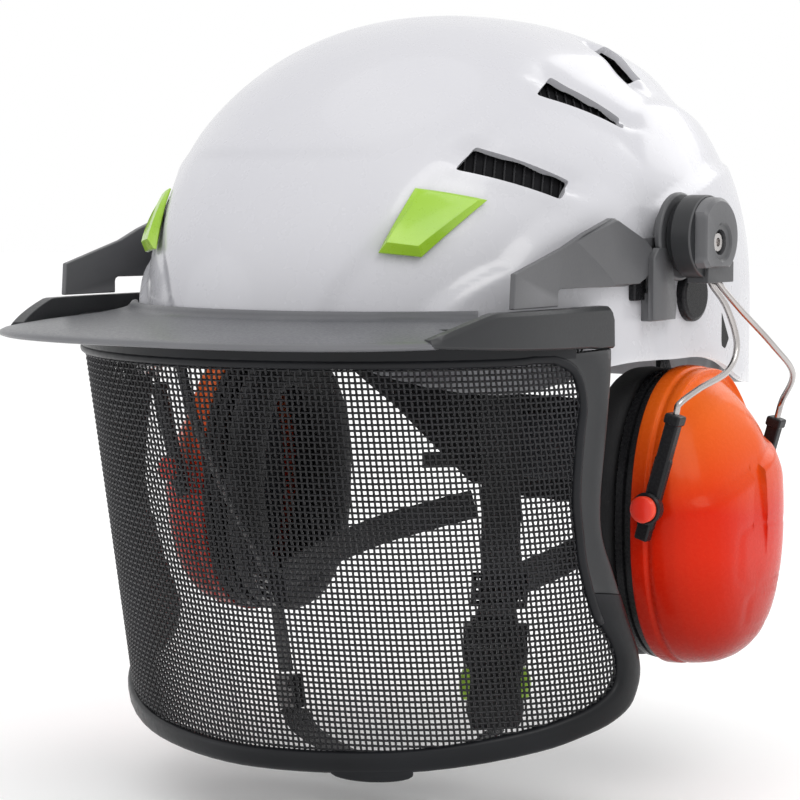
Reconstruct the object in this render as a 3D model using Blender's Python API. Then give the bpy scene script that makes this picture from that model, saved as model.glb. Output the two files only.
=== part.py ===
"""Forestry helmet: hard hat shell with a flip-up mesh visor, two hinged ear muffs and a chin strap.

The wearer looks along -Y, +X is the wearer's left and +Z is up. The origin is the middle of the
head at the height of the brow band. All lengths below are millimetres, and new_object() turns
them into metres. Left pieces are drawn at +X and mirrored for the right side.
"""

import math

import bmesh
import bpy
from mathutils import Matrix, Vector

MM = 0.001
GAP = 0.3

# Shell
SHELL_HALF_WIDTH = 108
SHELL_FRONT = 143
SHELL_REAR = 150
SHELL_HEIGHT = 121
SHELL_WALL = 3.5
LINER_WALL = 20
PLAN_POWER = 2.15
RIM_ANGLES = (0, 15, 21, 31, 49, 58, 72, 97, 110, 125, 150, 180)
RIM_HEIGHTS = (-6, -8, -11.5, -19, -25.5, -24, -15.5, -15.5, -28, -32, -36, -36)

# Head ring, measured on a plan of half an ellipse in front and half a circle behind
HEAD_RADIUS = 78
HEAD_FRONT = 118
HEAD_CENTRE_Y = 20
RING_WALL = 1.6

# Visor: its curved surface, given at its top and at its bottom
VISOR_TOP = -8.7
VISOR_BOTTOM = -160
VISOR_HALF_WIDTHS = (110.5, 114.5)
VISOR_FRONTS = (171, 139.5)
VISOR_SIDES = (62, 45)
VISOR_POWERS = (1.95, 1.75)
VISOR_SPAN = 165
FRAME_WALL = 3.2
TRIM_WALL = 5
MESH_WALL = 1.0
MESH_MARGIN = 0.6
RAIL_PLACES = (0, 0.4, 0.6, 0.74)
RAIL_TOPS = (-3, -3.6, -4.6, -6.2)
PIVOT = Vector((0, -12, 32))

# The left half of the frame, from its top: (share across, height) along the outside and the opening
BAND_OUTSIDE = (
    (1.03, -8.7),
    (1.005, -20),
    (0.965, -40),
    (0.922, -63),
    (0.914, -78),
    (0.945, -92),
    (0.968, -101),
)
BAND_OPENING = (
    (0.87, -8.7),
    (0.887, -21),
    (0.867, -41),
    (0.839, -62),
    (0.837, -77),
    (0.841, -90),
    (0.855, -99.5),
)
TRIM_OUTSIDE = (
    (0.969, -101.4),
    (0.995, -110),
    (1.055, -124),
    (1.06, -134),
    (0.99, -143),
    (0.895, -148.8),
    (0.785, -153),
    (0.67, -157),
    (0.55, -160),
    (0.43, -162.8),
    (0.32, -164),
    (0.22, -164.7),
    (0.11, -165.1),
    (0, -165.2),
)
TRIM_OPENING = (
    (0.856, -99.9),
    (0.868, -107),
    (0.915, -119),
    (0.932, -127),
    (0.91, -135),
    (0.835, -141),
    (0.735, -145.3),
    (0.63, -148.8),
    (0.525, -151.6),
    (0.42, -154.2),
    (0.32, -155.4),
    (0.22, -156.2),
    (0.11, -156.7),
    (0, -156.8),
)

# Peak
PEAK_HALF_WIDTH = 112
PEAK_FRONT = 204
PEAK_CENTRE_Y = -75
PEAK_POWER = 2.8
BLOCK_START = 58
BLOCK_DEPTH = 5

# Ear muffs
HUB_RADIUS = 16
HUB_INNER = 115.5
HUB_OUTER = 132
CUP_CENTRE = Vector((0, 7, -78))
CUP_HALF_LENGTH = 41
CUP_HALF_HEIGHT = 59
CUP_BACK = 106
CUP_POWER = 2.3
TILT_AXIS = Vector((117, 7, -70))
ROD_SPACING = 45
SLIDE = Vector((-14, 0, -48)).normalized()
FOLD_AXIS = Vector((124, -5, 19))
WIRE_RADIUS = 1.25
ROD_BORE = 1.75

# Nape adjuster
NAPE_PIVOT = Vector((0, 33, -17))
KNOB_AXIS_Z = -66
PINION_RADIUS = 4

# Webbing and buckle
WEB_WIDTH = 15
WEB_WALL = 1.5
BUCKLE = Vector((55, -50, -144))
CHEEK_ANGLE = math.radians(35)
CHEEK_OUT = Vector((math.sin(CHEEK_ANGLE), -math.cos(CHEEK_ANGLE), 0))

FINISHES = {
    "shell_white": ((0.86, 0.86, 0.90), 0.18, 0.0),
    "dark_grey": ((0.09, 0.10, 0.11), 0.45, 0.0),
    "black": ((0.015, 0.015, 0.017), 0.5, 0.0),
    "lime": ((0.35, 0.62, 0.02), 0.35, 0.0),
    "orange": ((0.90, 0.12, 0.02), 0.25, 0.0),
    "button_red": ((0.85, 0.06, 0.03), 0.35, 0.0),
    "steel": ((0.62, 0.60, 0.58), 0.25, 1.0),
    "foam": ((0.02, 0.02, 0.03), 0.95, 0.0),
    "webbing": ((0.02, 0.02, 0.02), 0.85, 0.0),
}


# ---------------------------------------------------------------- tools


def material(name):
    found = bpy.data.materials.get(name)
    if found:
        return found
    colour, roughness, metallic = FINISHES[name]
    made = bpy.data.materials.new(name)
    made.use_nodes = True
    shader = made.node_tree.nodes["Principled BSDF"]
    shader.inputs["Base Color"].default_value = (*colour, 1)
    shader.inputs["Roughness"].default_value = roughness
    shader.inputs["Metallic"].default_value = metallic
    made.diffuse_color = (*colour, 1)
    return made


def mirrored(side):
    """Turns a left piece into a right one where side is -1."""
    return Matrix.Diagonal((side, 1, 1, 1))


def signed_volume(bm):
    """Negative where the faces point inwards."""
    return sum(a.vert.co.cross(b.vert.co).dot(c.vert.co) for a, b, c in bm.calc_loop_triangles())


def new_object(name, bm, finish, origin=(0, 0, 0), side=1, sharp=35):
    """Makes the mesh an object in metres, with its origin on the given point."""
    turn = mirrored(side)
    origin = turn @ Vector(origin)
    bm.transform(Matrix.Scale(MM, 4) @ Matrix.Translation(-origin) @ turn)
    if signed_volume(bm) < 0:
        bmesh.ops.reverse_faces(bm, faces=bm.faces)
    bm.normal_update()
    mesh = bpy.data.meshes.new(name)
    bm.to_mesh(mesh)
    bm.free()
    mesh.shade_smooth()
    mesh.set_sharp_from_angle(angle=math.radians(sharp))
    mesh.materials.append(material(finish))
    obj = bpy.data.objects.new(name, mesh)
    obj.location = origin * MM
    bpy.context.scene.collection.objects.link(obj)
    return obj


def combine(obj, tool, operation):
    """Adds a Boolean modifier, and hides the tool that it uses."""
    tool.hide_render = True
    tool.display_type = "WIRE"
    step = obj.modifiers.new(tool.name, "BOOLEAN")
    step.operation = operation
    step.solver = "EXACT"
    step.object = tool


def loft(rings, ring_closed=True, path_closed=False):
    """Skins a row of rings; an open path gets flat ends."""
    bm = bmesh.new()
    rows = [[bm.verts.new(point) for point in ring] for ring in rings]
    steps = list(zip(rows, rows[1:]))
    if path_closed:
        steps.append((rows[-1], rows[0]))
    count = len(rows[0])
    for near, far in steps:
        for i in range(count if ring_closed else count - 1):
            j = (i + 1) % count
            bm.faces.new((near[i], near[j], far[j], far[i]))
    if not path_closed:
        bm.faces.new(rows[0][::-1])
        bm.faces.new(rows[-1])
    return bm


def box(size, centre, axes=None, bevel=0.0):
    """A box whose size runs along the given axes, or along X, Y and Z."""
    bm = bmesh.new()
    bmesh.ops.create_cube(bm, size=1)
    turn = Matrix.Identity(3) if axes is None else Matrix(axes).transposed()
    scaled = turn @ Matrix.Diagonal(size)
    bm.transform(Matrix.Translation(centre) @ scaled.to_4x4())
    if turn.determinant() < 0:
        bmesh.ops.reverse_faces(bm, faces=bm.faces)
    bm.normal_update()
    if bevel:
        bmesh.ops.bevel(bm, geom=bm.edges[:], offset=bevel, segments=1, affect="EDGES")
    return bm


def prism(outline, low, high):
    """An outline in (Y, Z) carried along X; low and high give X for each of its points."""
    near = [(low(y), y, z) for y, z in outline]
    far = [(high(y), y, z) for y, z in outline]
    return loft([near, far])


def circle(centre, radius, along, count, turn=0.0):
    """Points of a circle about an axis that runs along X, Y or Z."""
    first, second = {"X": (1, 2), "Y": (2, 0), "Z": (0, 1)}[along]
    points = []
    for i in range(count):
        angle = 2 * math.pi * i / count + turn
        point = Vector(centre)
        point[first] += radius * math.cos(angle)
        point[second] += radius * math.sin(angle)
        points.append(point)
    return points


def turned(profile, centre, along="X", count=24, hollow=False, turn=0.0):
    """A lathe shape: profile lists (place along the axis, radius)."""
    axis = "XYZ".index(along)
    rings = []
    for place, radius in profile:
        middle = Vector(centre)
        middle[axis] = place
        rings.append(circle(middle, radius, along, count, turn))
    return loft(rings, path_closed=hollow)


def band(path, facing, width, wall):
    """A flat strap along a path; facing is the outward direction, one for all or one per point."""
    path = [Vector(point) for point in path]
    rings = []
    for i, point in enumerate(path):
        tangent = (path[min(i + 1, len(path) - 1)] - path[max(i - 1, 0)]).normalized()
        out = Vector(facing[i] if isinstance(facing, list) else facing)
        out = (out - tangent * out.dot(tangent)).normalized()
        across = tangent.cross(out)
        half, depth = across * width / 2, out * wall / 2
        rings.append(
            [point + half + depth, point + half - depth, point - half - depth, point - half + depth]
        )
    return loft(rings)


def smooth_route(points, step):
    """Points along a Catmull-Rom curve through the given ones."""
    knots = [Vector(point) for point in points]
    knots = [knots[0] * 2 - knots[1], *knots, knots[-1] * 2 - knots[-2]]
    route = []
    for a, b, c, d in zip(knots, knots[1:], knots[2:], knots[3:]):
        pieces = max(1, round((c - b).length / step))
        for i in range(pieces):
            t = i / pieces
            route.append(
                0.5
                * (
                    2 * b
                    + (c - a) * t
                    + (2 * a - 5 * b + 4 * c - d) * t**2
                    + (3 * b - a - 3 * c + d) * t**3
                )
            )
    route.append(knots[-2])
    return route


def between(value, places, heights):
    """Straight-line reading of a small table."""
    for a, b, low, high in zip(places, places[1:], heights, heights[1:]):
        if value <= b:
            return low + (high - low) * (value - a) / (b - a)
    return heights[-1]


def power(value, exponent):
    return math.copysign(abs(value) ** exponent, value)


# ---------------------------------------------------------------- shell and liner


def dome_point(angle, lift, inset, rim):
    """A point of the dome: angle from the front, lift 0 at the rim and 90 degrees at the crown."""
    height = SHELL_HEIGHT - inset
    z = rim + (height - rim) * math.sin(lift)
    roundness = 2.0 + 0.45 * (0.5 - 0.5 * math.cos(angle))
    level = min(max(z, 0) / height, 1)
    reach = (1 - level**roundness) ** (1 / roundness)
    length = (SHELL_FRONT if math.cos(angle) > 0 else SHELL_REAR) - inset
    x = (SHELL_HALF_WIDTH - inset) * power(math.sin(angle), 2 / PLAN_POWER)
    y = -length * power(math.cos(angle), 2 / PLAN_POWER)
    return Vector((x * reach, y * reach, z))


def rim_height(angle):
    around = abs(math.degrees(angle))
    around = min(around, 360 - around)
    return between(around, RIM_ANGLES, RIM_HEIGHTS)


def dome_rings(inset, rim, levels, count):
    top = math.radians(84)
    rings = []
    for level in range(levels + 1):
        lift = top * level / levels
        rings.append(
            [
                dome_point(2 * math.pi * i / count, lift, inset, rim(2 * math.pi * i / count))
                for i in range(count)
            ]
        )
    return rings


def shell():
    outer = dome_rings(0, rim_height, 9, 40)
    inner = dome_rings(SHELL_WALL, rim_height, 8, 40)
    body = new_object("shell", loft(outer[::-1] + inner), "shell_white", sharp=50)
    vents = {
        "front": ((66, -95, 58), (69, -85, 64), (92, -54, 52), (91, -62, 47)),
        "middle": ((71, -47, 87), (70, -33, 92), (87, -6, 78), (89, -12, 74)),
        "rear": ((54, 27, 109), (54, 35, 108), (72, 34, 96), (72, 27, 97)),
    }
    for place, corners in vents.items():
        for side, hand in ((1, "left"), (-1, "right")):
            corners_here = [Vector(corner) for corner in corners]
            out = sum(corners_here, Vector()).normalized()
            hole = loft([[corner + out * depth for corner in corners_here] for depth in (-14, 14)])
            cutter = new_object(f"vent_cutter_{place}_{hand}", hole, "black", side=side)
            combine(body, cutter, "DIFFERENCE")


def impact_liner():
    def rim(angle):
        return 18 + 8 * math.cos(angle)

    outer = dome_rings(SHELL_WALL + 1.6, rim, 6, 28)
    inner = dome_rings(SHELL_WALL + LINER_WALL, rim, 5, 28)
    new_object("impact_liner", loft(outer[::-1] + inner), "black", sharp=60)


def crown_pad():
    inset = SHELL_WALL + LINER_WALL + 0.8
    rings = []
    for depth in (0, 6):
        height = SHELL_HEIGHT - inset - depth
        rings.append([Vector((30 * math.sin(a), 40 * -math.cos(a), height - 10)) for a in arc(0, 330, 12)])
    new_object("crown_pad", loft(rings), "foam")


def arc(first, last, count):
    return [math.radians(first + (last - first) * i / (count - 1)) for i in range(count)]


# ---------------------------------------------------------------- head ring


def head_point(angle, outset, z):
    """A point of the head ring: angle from +X towards the rear, so -90 degrees is the brow."""
    reach = HEAD_FRONT if math.sin(angle) < 0 else HEAD_RADIUS
    y = HEAD_CENTRE_Y + (reach + outset) * math.sin(angle)
    return Vector(((HEAD_RADIUS + outset) * math.cos(angle), y, z))


def ring_strip(angles, inner, wall, low, high):
    """A strip around the head; low and high give its edges for each angle."""
    rings = []
    for angle in angles:
        rings.append(
            [
                head_point(angle, inner, low(angle)),
                head_point(angle, inner + wall, low(angle)),
                head_point(angle, inner + wall, high(angle)),
                head_point(angle, inner, high(angle)),
            ]
        )
    return loft(rings)


def headband():
    def low(angle):
        return between(math.degrees(angle), (-205, -190, -90, 10, 25), (-25, -14, -6, -14, -25))

    def high(angle):
        return between(math.degrees(angle), (-205, -190, -90, 10, 25), (-9, 8, 20, 8, -9))

    strip = ring_strip(arc(-205, 25, 29), 0, RING_WALL, low, high)
    new_object("headband", strip, "black")
    pad = ring_strip(arc(-140, -40, 13), -4.5, 4.2, lambda angle: -9, lambda angle: 17)
    new_object("brow_pad", pad, "foam")


def nape_cradle():
    def low(angle):
        return between(abs(math.degrees(angle) - 90), (0, 35, 60, 82), (-92, -84, -48, -24))

    def high(angle):
        return between(abs(math.degrees(angle) - 90), (0, 35, 60, 82), (-44, -44, -30, -10))

    strip = ring_strip(arc(8, 172, 29), RING_WALL + 1.4, 2.2, low, high)
    cradle = new_object("nape_cradle", strip, "black", NAPE_PIVOT)
    rear = HEAD_CENTRE_Y + HEAD_RADIUS
    housing = new_object(
        "housing_block", box((44, 10, 34), (0, rear + 8.2, KNOB_AXIS_Z), bevel=2), "black"
    )
    combine(cradle, housing, "UNION")
    bore = turned([(rear + 5, 5), (rear + 20, 5)], (0, 0, KNOB_AXIS_Z), "Y", 16)
    combine(cradle, new_object("shaft_bore", bore, "black"), "DIFFERENCE")
    for name, centre_z in (("upper_channel", 8), ("lower_channel", -8)):
        channel = ring_strip(
            arc(60, 120, 17),
            5.6,
            2.8,
            lambda angle: KNOB_AXIS_Z + centre_z - 4.2,
            lambda angle: KNOB_AXIS_Z + centre_z + 4.2,
        )
        combine(cradle, new_object(name, channel, "black"), "DIFFERENCE")
    for side, hand in ((1, "left"), (-1, "right")):
        window = box((20, 30, 12), (48, HEAD_CENTRE_Y + 58, -66))
        cutter = new_object(f"cradle_window_{hand}", window, "black", side=side)
        combine(cradle, cutter, "DIFFERENCE")


def adjuster():
    """The knob turns a pinion that draws the two racks in, one above it and one below."""
    rear = HEAD_CENTRE_Y + HEAD_RADIUS
    profile = [
        (rear + 5.6, PINION_RADIUS),
        (rear + 13.6, PINION_RADIUS),
        (rear + 13.6, 15),
        (rear + 15, 17),
        (rear + 23, 17),
        (rear + 25, 14),
    ]
    axis = Vector((0, 0, KNOB_AXIS_Z))
    knob = new_object("adjuster_knob", turned(profile, axis, "Y", 20), "black", axis + Vector((0, rear, 0)))
    grooves = [
        turned([(rear + 16, 2.2), (rear + 30, 2.2)], axis + spot, "Y", 8)
        for spot in [Vector((17.4 * math.cos(a), 0, 17.4 * math.sin(a))) for a in arc(0, 324, 10)]
    ]
    for number, groove in enumerate(grooves):
        combine(knob, new_object(f"knob_groove_{number}", groove, "black"), "DIFFERENCE")
    for name, centre_z, first, last in (("rack_left", 8, 40, 96), ("rack_right", -8, 84, 140)):
        strip = ring_strip(
            arc(first, last, 13),
            6.0,
            2.0,
            lambda angle: KNOB_AXIS_Z + centre_z - 3.7,
            lambda angle: KNOB_AXIS_Z + centre_z + 3.7,
        )
        new_object(name, strip, "dark_grey", (0, HEAD_CENTRE_Y, KNOB_AXIS_Z))


# ---------------------------------------------------------------- lamp clips


def plate_on(corners, stand, wall, inset):
    """A bevelled plate on four surface points, standing off them along their common normal."""
    corners = [Vector(corner) for corner in corners]
    out = (corners[2] - corners[0]).cross(corners[3] - corners[1]).normalized()
    middle = sum(corners, Vector()) / 4
    if out.dot(middle) < 0:
        out = -out
    top = [corner + (middle - corner).normalized() * inset + out * (stand + wall) for corner in corners]
    rim = [corner + out * (stand + wall * 0.5) for corner in corners]
    base = [corner + out * stand for corner in corners]
    return loft([base, rim, top])


def lamp_clips():
    corners = ((58, -109, 50), (77, -90, 47), (65, -114, 25), (52, -124, 28))
    for side, hand in ((1, "left"), (-1, "right")):
        hinge = (67.5, -99.5, 48.5)
        new_object(f"lamp_clip_{hand}", plate_on(corners, 2.2, 3, 2.5), "lime", hinge, side)
    centre = Vector((0, SHELL_REAR + 2.6, 14))
    new_object("rear_lamp_clip", box((40, 4, 22), centre, bevel=0.8), "lime", centre)


# ---------------------------------------------------------------- visor and peak


def visor_point(across, z, out=0.0):
    """A point of the visor's surface: across is -1 to 1 between its sides, then straight back."""
    fall = (VISOR_TOP - z) / (VISOR_TOP - VISOR_BOTTOM)
    half, front, side, bend = (
        top + (bottom - top) * fall
        for top, bottom in (VISOR_HALF_WIDTHS, VISOR_FRONTS, VISOR_SIDES, VISOR_POWERS)
    )
    angle = max(-1, min(across, 1)) * math.pi / 2
    beyond = max(abs(across) - 1, 0) * 100
    x = (half + out) * power(math.sin(angle), 2 / bend)
    y = -side - (front - side + out) * math.cos(angle) ** (2 / bend) + beyond
    return Vector((x, y, z))


def frame_strip(outside, opening, wall):
    """A strip of the visor frame between two outlines."""
    rings = []
    for (a, z_a), (b, z_b) in zip(outside, opening):
        rings.append(
            [
                visor_point(a, z_a, -wall / 2),
                visor_point(a, z_a, wall / 2),
                visor_point(b, z_b, wall / 2),
                visor_point(b, z_b, -wall / 2),
            ]
        )
    return loft(rings)


def both_halves(edge):
    """An outline's left half, then the same for the right."""
    return list(edge) + [(-across, z) for across, z in edge[-2::-1]]


def visor_frame():
    for side, hand in ((1, "left"), (-1, "right")):
        strip = frame_strip(BAND_OUTSIDE, BAND_OPENING, FRAME_WALL)
        new_object(f"visor_side_band_{hand}", strip, "dark_grey", PIVOT, side)
    trim = frame_strip(both_halves(TRIM_OUTSIDE), both_halves(TRIM_OPENING), TRIM_WALL)
    new_object("visor_bottom_trim", trim, "black", PIVOT)


def visor_mesh():
    """The woven mesh as one thin sheet that fills the frame."""
    edge = BAND_OPENING[:-1] + TRIM_OPENING
    heights = [-z for _, z in edge]
    places = [across for across, _ in edge]
    levels = [VISOR_TOP - GAP]
    levels += [z + MESH_MARGIN for _, z in edge[1:-1]]
    rings = []
    for z in levels:
        reach = between(MESH_MARGIN - z, heights, places) - MESH_MARGIN / VISOR_SPAN
        shares = [reach * (i / 16 - 1) for i in range(33)]
        inner = [visor_point(across, z, -MESH_WALL / 2) for across in shares]
        outer = [visor_point(across, z, MESH_WALL / 2) for across in shares]
        rings.append(inner + outer[::-1])
    new_object("visor_mesh", loft(rings), "black", PIVOT)


def visor_top_rail():
    """The carrier under the peak that the mesh hangs from, between the two side blocks."""
    rings = []
    for i in range(25):
        across = RAIL_PLACES[-1] * (i / 12 - 1)
        low = VISOR_TOP + GAP
        high = between(abs(across), RAIL_PLACES, RAIL_TOPS)
        rings.append(
            [
                visor_point(across, low, -2),
                visor_point(across, low, 2),
                visor_point(across, high, 2),
                visor_point(across, high, -2),
            ]
        )
    new_object("visor_top_rail", loft(rings), "black", PIVOT)


def block_point(share):
    """A point along the side of the peak, from a block's front to its rear end."""
    turn, straight = 90 - BLOCK_START, 18
    along = share * (turn + straight)
    if along < turn:
        return peak_edge(math.radians(BLOCK_START + along), -1)
    return peak_edge(math.radians(90), -1) + Vector((0, along - turn, 0))


def side_blocks():
    """The blocks that close the peak's sides: a slanted front end, then a level top."""
    for side, hand in ((1, "left"), (-1, "right")):
        rings = []
        for i in range(15):
            share = i / 14
            here = block_point(share)
            ahead = block_point(min(share + 0.02, 1)) - block_point(max(share - 0.02, 0))
            inward = Vector((-ahead.y, ahead.x, 0)).normalized()
            low = max(-4 - 5.6 * share, VISOR_TOP + GAP)
            high = min(low + 3 + 32 * share, 7.2)
            section = (
                (0, low),
                (-1, low + 0.8),
                (-0.8, high - 1.6),
                (0.4, high),
                (BLOCK_DEPTH, high),
                (BLOCK_DEPTH, low),
            )
            rings.append([here + inward * depth + Vector((0, 0, z)) for depth, z in section])
        new_object(f"visor_block_{hand}", loft(rings), "dark_grey", PIVOT, side)


def arm_inner_x(y):
    return between(y, (-120, -90, -60, -45, -26, 10), (105, 105, 106.5, 107.5, 108.8, 108.8))


def arm_outer_x(y):
    return arm_inner_x(y) + 3


def visor_arms():
    eye = [(PIVOT.y + 12 * math.sin(a), PIVOT.z + 12 * math.cos(a)) for a in arc(-90, 230, 17)]
    front = [(-120, 7.9), (-119, 20.5), (-86, 29.3), (-74, 33.8), (-54, 39.8), (-34, 31.5)]
    under = [(-30.6, 20.4), (-38, 15.4), (-46, 13.6), (-88, 14.3), (-90, 13), (-90, 7.9)]
    for side, hand in ((1, "left"), (-1, "right")):
        plate = prism(front + eye + under, arm_inner_x, arm_outer_x)
        arm = new_object(f"visor_arm_{hand}", plate, "dark_grey", PIVOT, side)
        hole = turned([(100, 4.6), (120, 4.6)], PIVOT, "X", 16)
        cutter = new_object(f"arm_hole_{hand}", hole, "black", side=side)
        combine(arm, cutter, "DIFFERENCE")


def peak_edge(angle, outset=0.0):
    x = (PEAK_HALF_WIDTH + outset) * power(math.sin(angle), 2 / PEAK_POWER)
    reach = PEAK_FRONT + PEAK_CENTRE_Y + outset
    return Vector((x, PEAK_CENTRE_Y - reach * power(math.cos(angle), 2 / PEAK_POWER), 0))


def peak():
    """The brim: a low collar round the shell, then a plate that slopes down to a rolled edge."""
    rings = []
    for angle in arc(-70, 70, 57):
        tuck = 7 * min(max((abs(math.degrees(angle)) - 51) / 5, 0), 1)
        edge = peak_edge(angle, -tuck)
        inner = dome_point(angle * 0.66, 0, -1.9, 0)
        inner.z = 0
        reach = (edge - inner).length
        way = (edge - inner) / reach
        section = (
            (0, 0.2),
            (0, 5.6),
            (1.4, 6.4),
            (3.4, 4.9),
            (7, 2.9),
            (reach * 0.6, 0.4),
            (reach - 1.8, -2.2),
            (reach, -3.4),
            (reach - 1.6, -4.5),
            (reach - 5, -4.2),
            (reach * 0.6, -2.6),
            (6, -0.2),
        )
        rings.append([inner + way * place + Vector((0, 0, z)) for place, z in section])
    new_object("peak", loft(rings), "dark_grey", PIVOT)


# ---------------------------------------------------------------- ear muffs


def slot_adapter(side, hand):
    """The bracket that plugs into the shell's accessory slot and carries the pivot pin."""
    profile = [(105.8, 4), (112.2, 4), (112.2, 17), (114.2, 17), (115.2, 16)]
    disc = new_object(f"slot_adapter_{hand}", turned(profile, PIVOT, "X", 28), "dark_grey", PIVOT, side)
    tongue_outline = ((-33.5, 0.5), (-16, 0.5), (-15, 8), (-19, 22), (-24, 28), (-30, 28), (-33.5, 24))
    tongue = prism(tongue_outline, lambda y: 112.3, lambda y: 115.2)
    combine(disc, new_object(f"tongue_{hand}", tongue, "dark_grey", side=side), "UNION")
    lug = box((4.4, 18, 12), (111.2, -22, 4))
    combine(disc, new_object(f"slot_lug_{hand}", lug, "dark_grey", side=side), "UNION")


def muff_hub(side, hand):
    """The drum that swivels on the adapter, with a notch below for the wire fork."""
    profile = [
        (HUB_INNER, 15),
        (HUB_INNER + 1, HUB_RADIUS),
        (HUB_OUTER - 4.5, HUB_RADIUS),
        (HUB_OUTER, 12.5),
        (HUB_OUTER, 5.2),
        (HUB_OUTER - 3, 5.2),
    ]
    hub = new_object(f"muff_hub_{hand}", turned(profile, PIVOT, "X", 24, turn=0.13), "dark_grey", PIVOT, side)
    holder = box((13, 27, 12), (123.5, FOLD_AXIS.y, 17), bevel=1)
    combine(hub, new_object(f"wire_holder_{hand}", holder, "dark_grey", side=side), "UNION")
    notch = box((12, 14, 20), (125, FOLD_AXIS.y, 12))
    combine(hub, new_object(f"wire_notch_{hand}", notch, "black", side=side), "DIFFERENCE")
    seat = HUB_OUTER - 2.7
    screw = [(seat - 3.6, 2.2), (seat, 2.2), (seat, 4.6), (seat + 1.2, 4.6), (seat + 1.8, 3.6)]
    bore = turned([(seat - 3.9, 2.5), (seat + 0.2, 2.5)], PIVOT, "X", 12)
    combine(hub, new_object(f"screw_bore_{hand}", bore, "black", side=side), "DIFFERENCE")
    new_object(f"hub_screw_{hand}", turned(screw, PIVOT, "X", 14), "steel", PIVOT, side)


def wire_fork(side, hand):
    """One spring wire: down from the front cup rod, through the hub and back to the rear rod."""
    rod_front = TILT_AXIS + Vector((0, -ROD_SPACING, 0)) - SLIDE * 37.5
    rod_rear = TILT_AXIS + Vector((0, ROD_SPACING, 0)) - SLIDE * 29
    route = [
        rod_front + SLIDE * 27,
        rod_front,
        rod_front - SLIDE * 4,
        (131.5, -28, -25),
        (134, -9, -19),
        (134, -2, -9),
        (131, -5, 5),
        (126, -8, 14),
        (124, -7.5, 19),
        (124, -2.5, 19),
        (126, -2, 14),
        (131, 6, 4),
        (136, 25, -11),
        (137.5, 40, -23),
        rod_rear - SLIDE * 7,
        rod_rear,
        rod_rear + SLIDE * 27,
    ]
    turn = mirrored(side)
    points = [turn @ Vector(point) for point in smooth_route(route, 6)]
    origin = turn @ FOLD_AXIS
    curve = bpy.data.curves.new(f"wire_fork_{hand}", "CURVE")
    curve.dimensions = "3D"
    curve.bevel_depth = WIRE_RADIUS * MM
    curve.bevel_resolution = 2
    curve.use_fill_caps = True
    spline = curve.splines.new("POLY")
    spline.points.add(len(points) - 1)
    for knot, point in zip(spline.points, points):
        knot.co = (*((point - origin) * MM), 1)
    curve.materials.append(material("steel"))
    wire = bpy.data.objects.new(f"wire_fork_{hand}", curve)
    wire.location = origin * MM
    bpy.context.scene.collection.objects.link(wire)


def cup_rods(side, hand):
    """The black rods that slide on the ends of the wire and carry the cup on two buttons."""
    across = Vector((SLIDE.z, 0, -SLIDE.x))
    axes = (across, Vector((0, 1, 0)), SLIDE)
    for place, y, above in (("front", -ROD_SPACING, 37.5), ("rear", ROD_SPACING, 29)):
        middle = TILT_AXIS + Vector((0, y, 0))
        top = middle - SLIDE * above
        bottom = middle + SLIDE * 13
        rod = box((8, 6.4, (bottom - top).length), (top + bottom) / 2, axes, bevel=1.2)
        rod = new_object(f"cup_rod_{place}_{hand}", rod, "black", middle, side)
        bore_end = top + SLIDE * 30
        bore = loft([ring_about(top - SLIDE, axes, ROD_BORE), ring_about(bore_end, axes, ROD_BORE)])
        combine(rod, new_object(f"rod_bore_{place}_{hand}", bore, "black", side=side), "DIFFERENCE")
        inward = 1 if y < 0 else -1
        edge = middle.y - inward * 3.6
        cap = [(edge, 6), (edge - inward * 2.5, 6.5), (edge - inward * 5, 5)]
        button = turned(cap, middle, "Y", 16)
        new_object(f"pivot_button_{place}_{hand}", button, "button_red", middle, side)


def ring_about(centre, axes, radius, count=10):
    points = []
    for i in range(count):
        angle = 2 * math.pi * i / count
        points.append(centre + axes[0] * radius * math.cos(angle) + axes[1] * radius * math.sin(angle))
    return points


def cup_ring(x, half_length, half_height, count=28, lift=0.0):
    points = []
    for i in range(count):
        angle = 2 * math.pi * i / count
        y = CUP_CENTRE.y + half_length * power(math.cos(angle), 2 / CUP_POWER)
        z = CUP_CENTRE.z + lift + half_height * power(math.sin(angle), 2 / CUP_POWER)
        points.append(Vector((x, y, z)))
    return points


def cup(side, hand):
    long, tall = CUP_HALF_LENGTH, CUP_HALF_HEIGHT
    wall = 2.4
    back = CUP_BACK
    steps = ((0, 0), (8, 0.3), (18, 1.8), (26, 6.5), (32, 14), (34, 22))
    outside = [(back + depth, drop) for depth, drop in steps]
    inside = [(x - wall * (x > back), drop + wall) for x, drop in outside]
    rings = [cup_ring(x, long - drop, tall - drop) for x, drop in outside[::-1]]
    rings += [cup_ring(x, long - drop, tall - drop) for x, drop in inside]
    new_object(f"cup_shell_{hand}", loft(rings), "orange", TILT_AXIS, side, sharp=50)
    plate = [(back - 8.5, 1.5), (back - GAP, 1.5), (back - GAP, 16), (back - 8.5, 16)]
    rings = [cup_ring(x, long - drop, tall - drop) for x, drop in plate]
    new_object(f"cup_back_plate_{hand}", loft(rings, path_closed=True), "black", TILT_AXIS, side)
    steps = ((23.5, 4), (21, 1), (12, 0.5), (8.8, 2), (8.8, 15), (12, 17.5), (21, 17), (23.5, 14.5))
    rings = [cup_ring(back - depth, long - drop, tall - drop, 24) for depth, drop in steps]
    new_object(f"cup_cushion_{hand}", loft(rings, path_closed=True), "foam", TILT_AXIS, side)
    steps = ((12, 5), (18, 6), (24, 14))
    rings = [cup_ring(back + depth, long - drop, tall - drop, 16) for depth, drop in steps]
    new_object(f"cup_foam_{hand}", loft(rings), "foam", TILT_AXIS, side)


def ear_muffs():
    for side, hand in ((1, "left"), (-1, "right")):
        slot_adapter(side, hand)
        muff_hub(side, hand)
        wire_fork(side, hand)
        cup_rods(side, hand)
        cup(side, hand)


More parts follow.
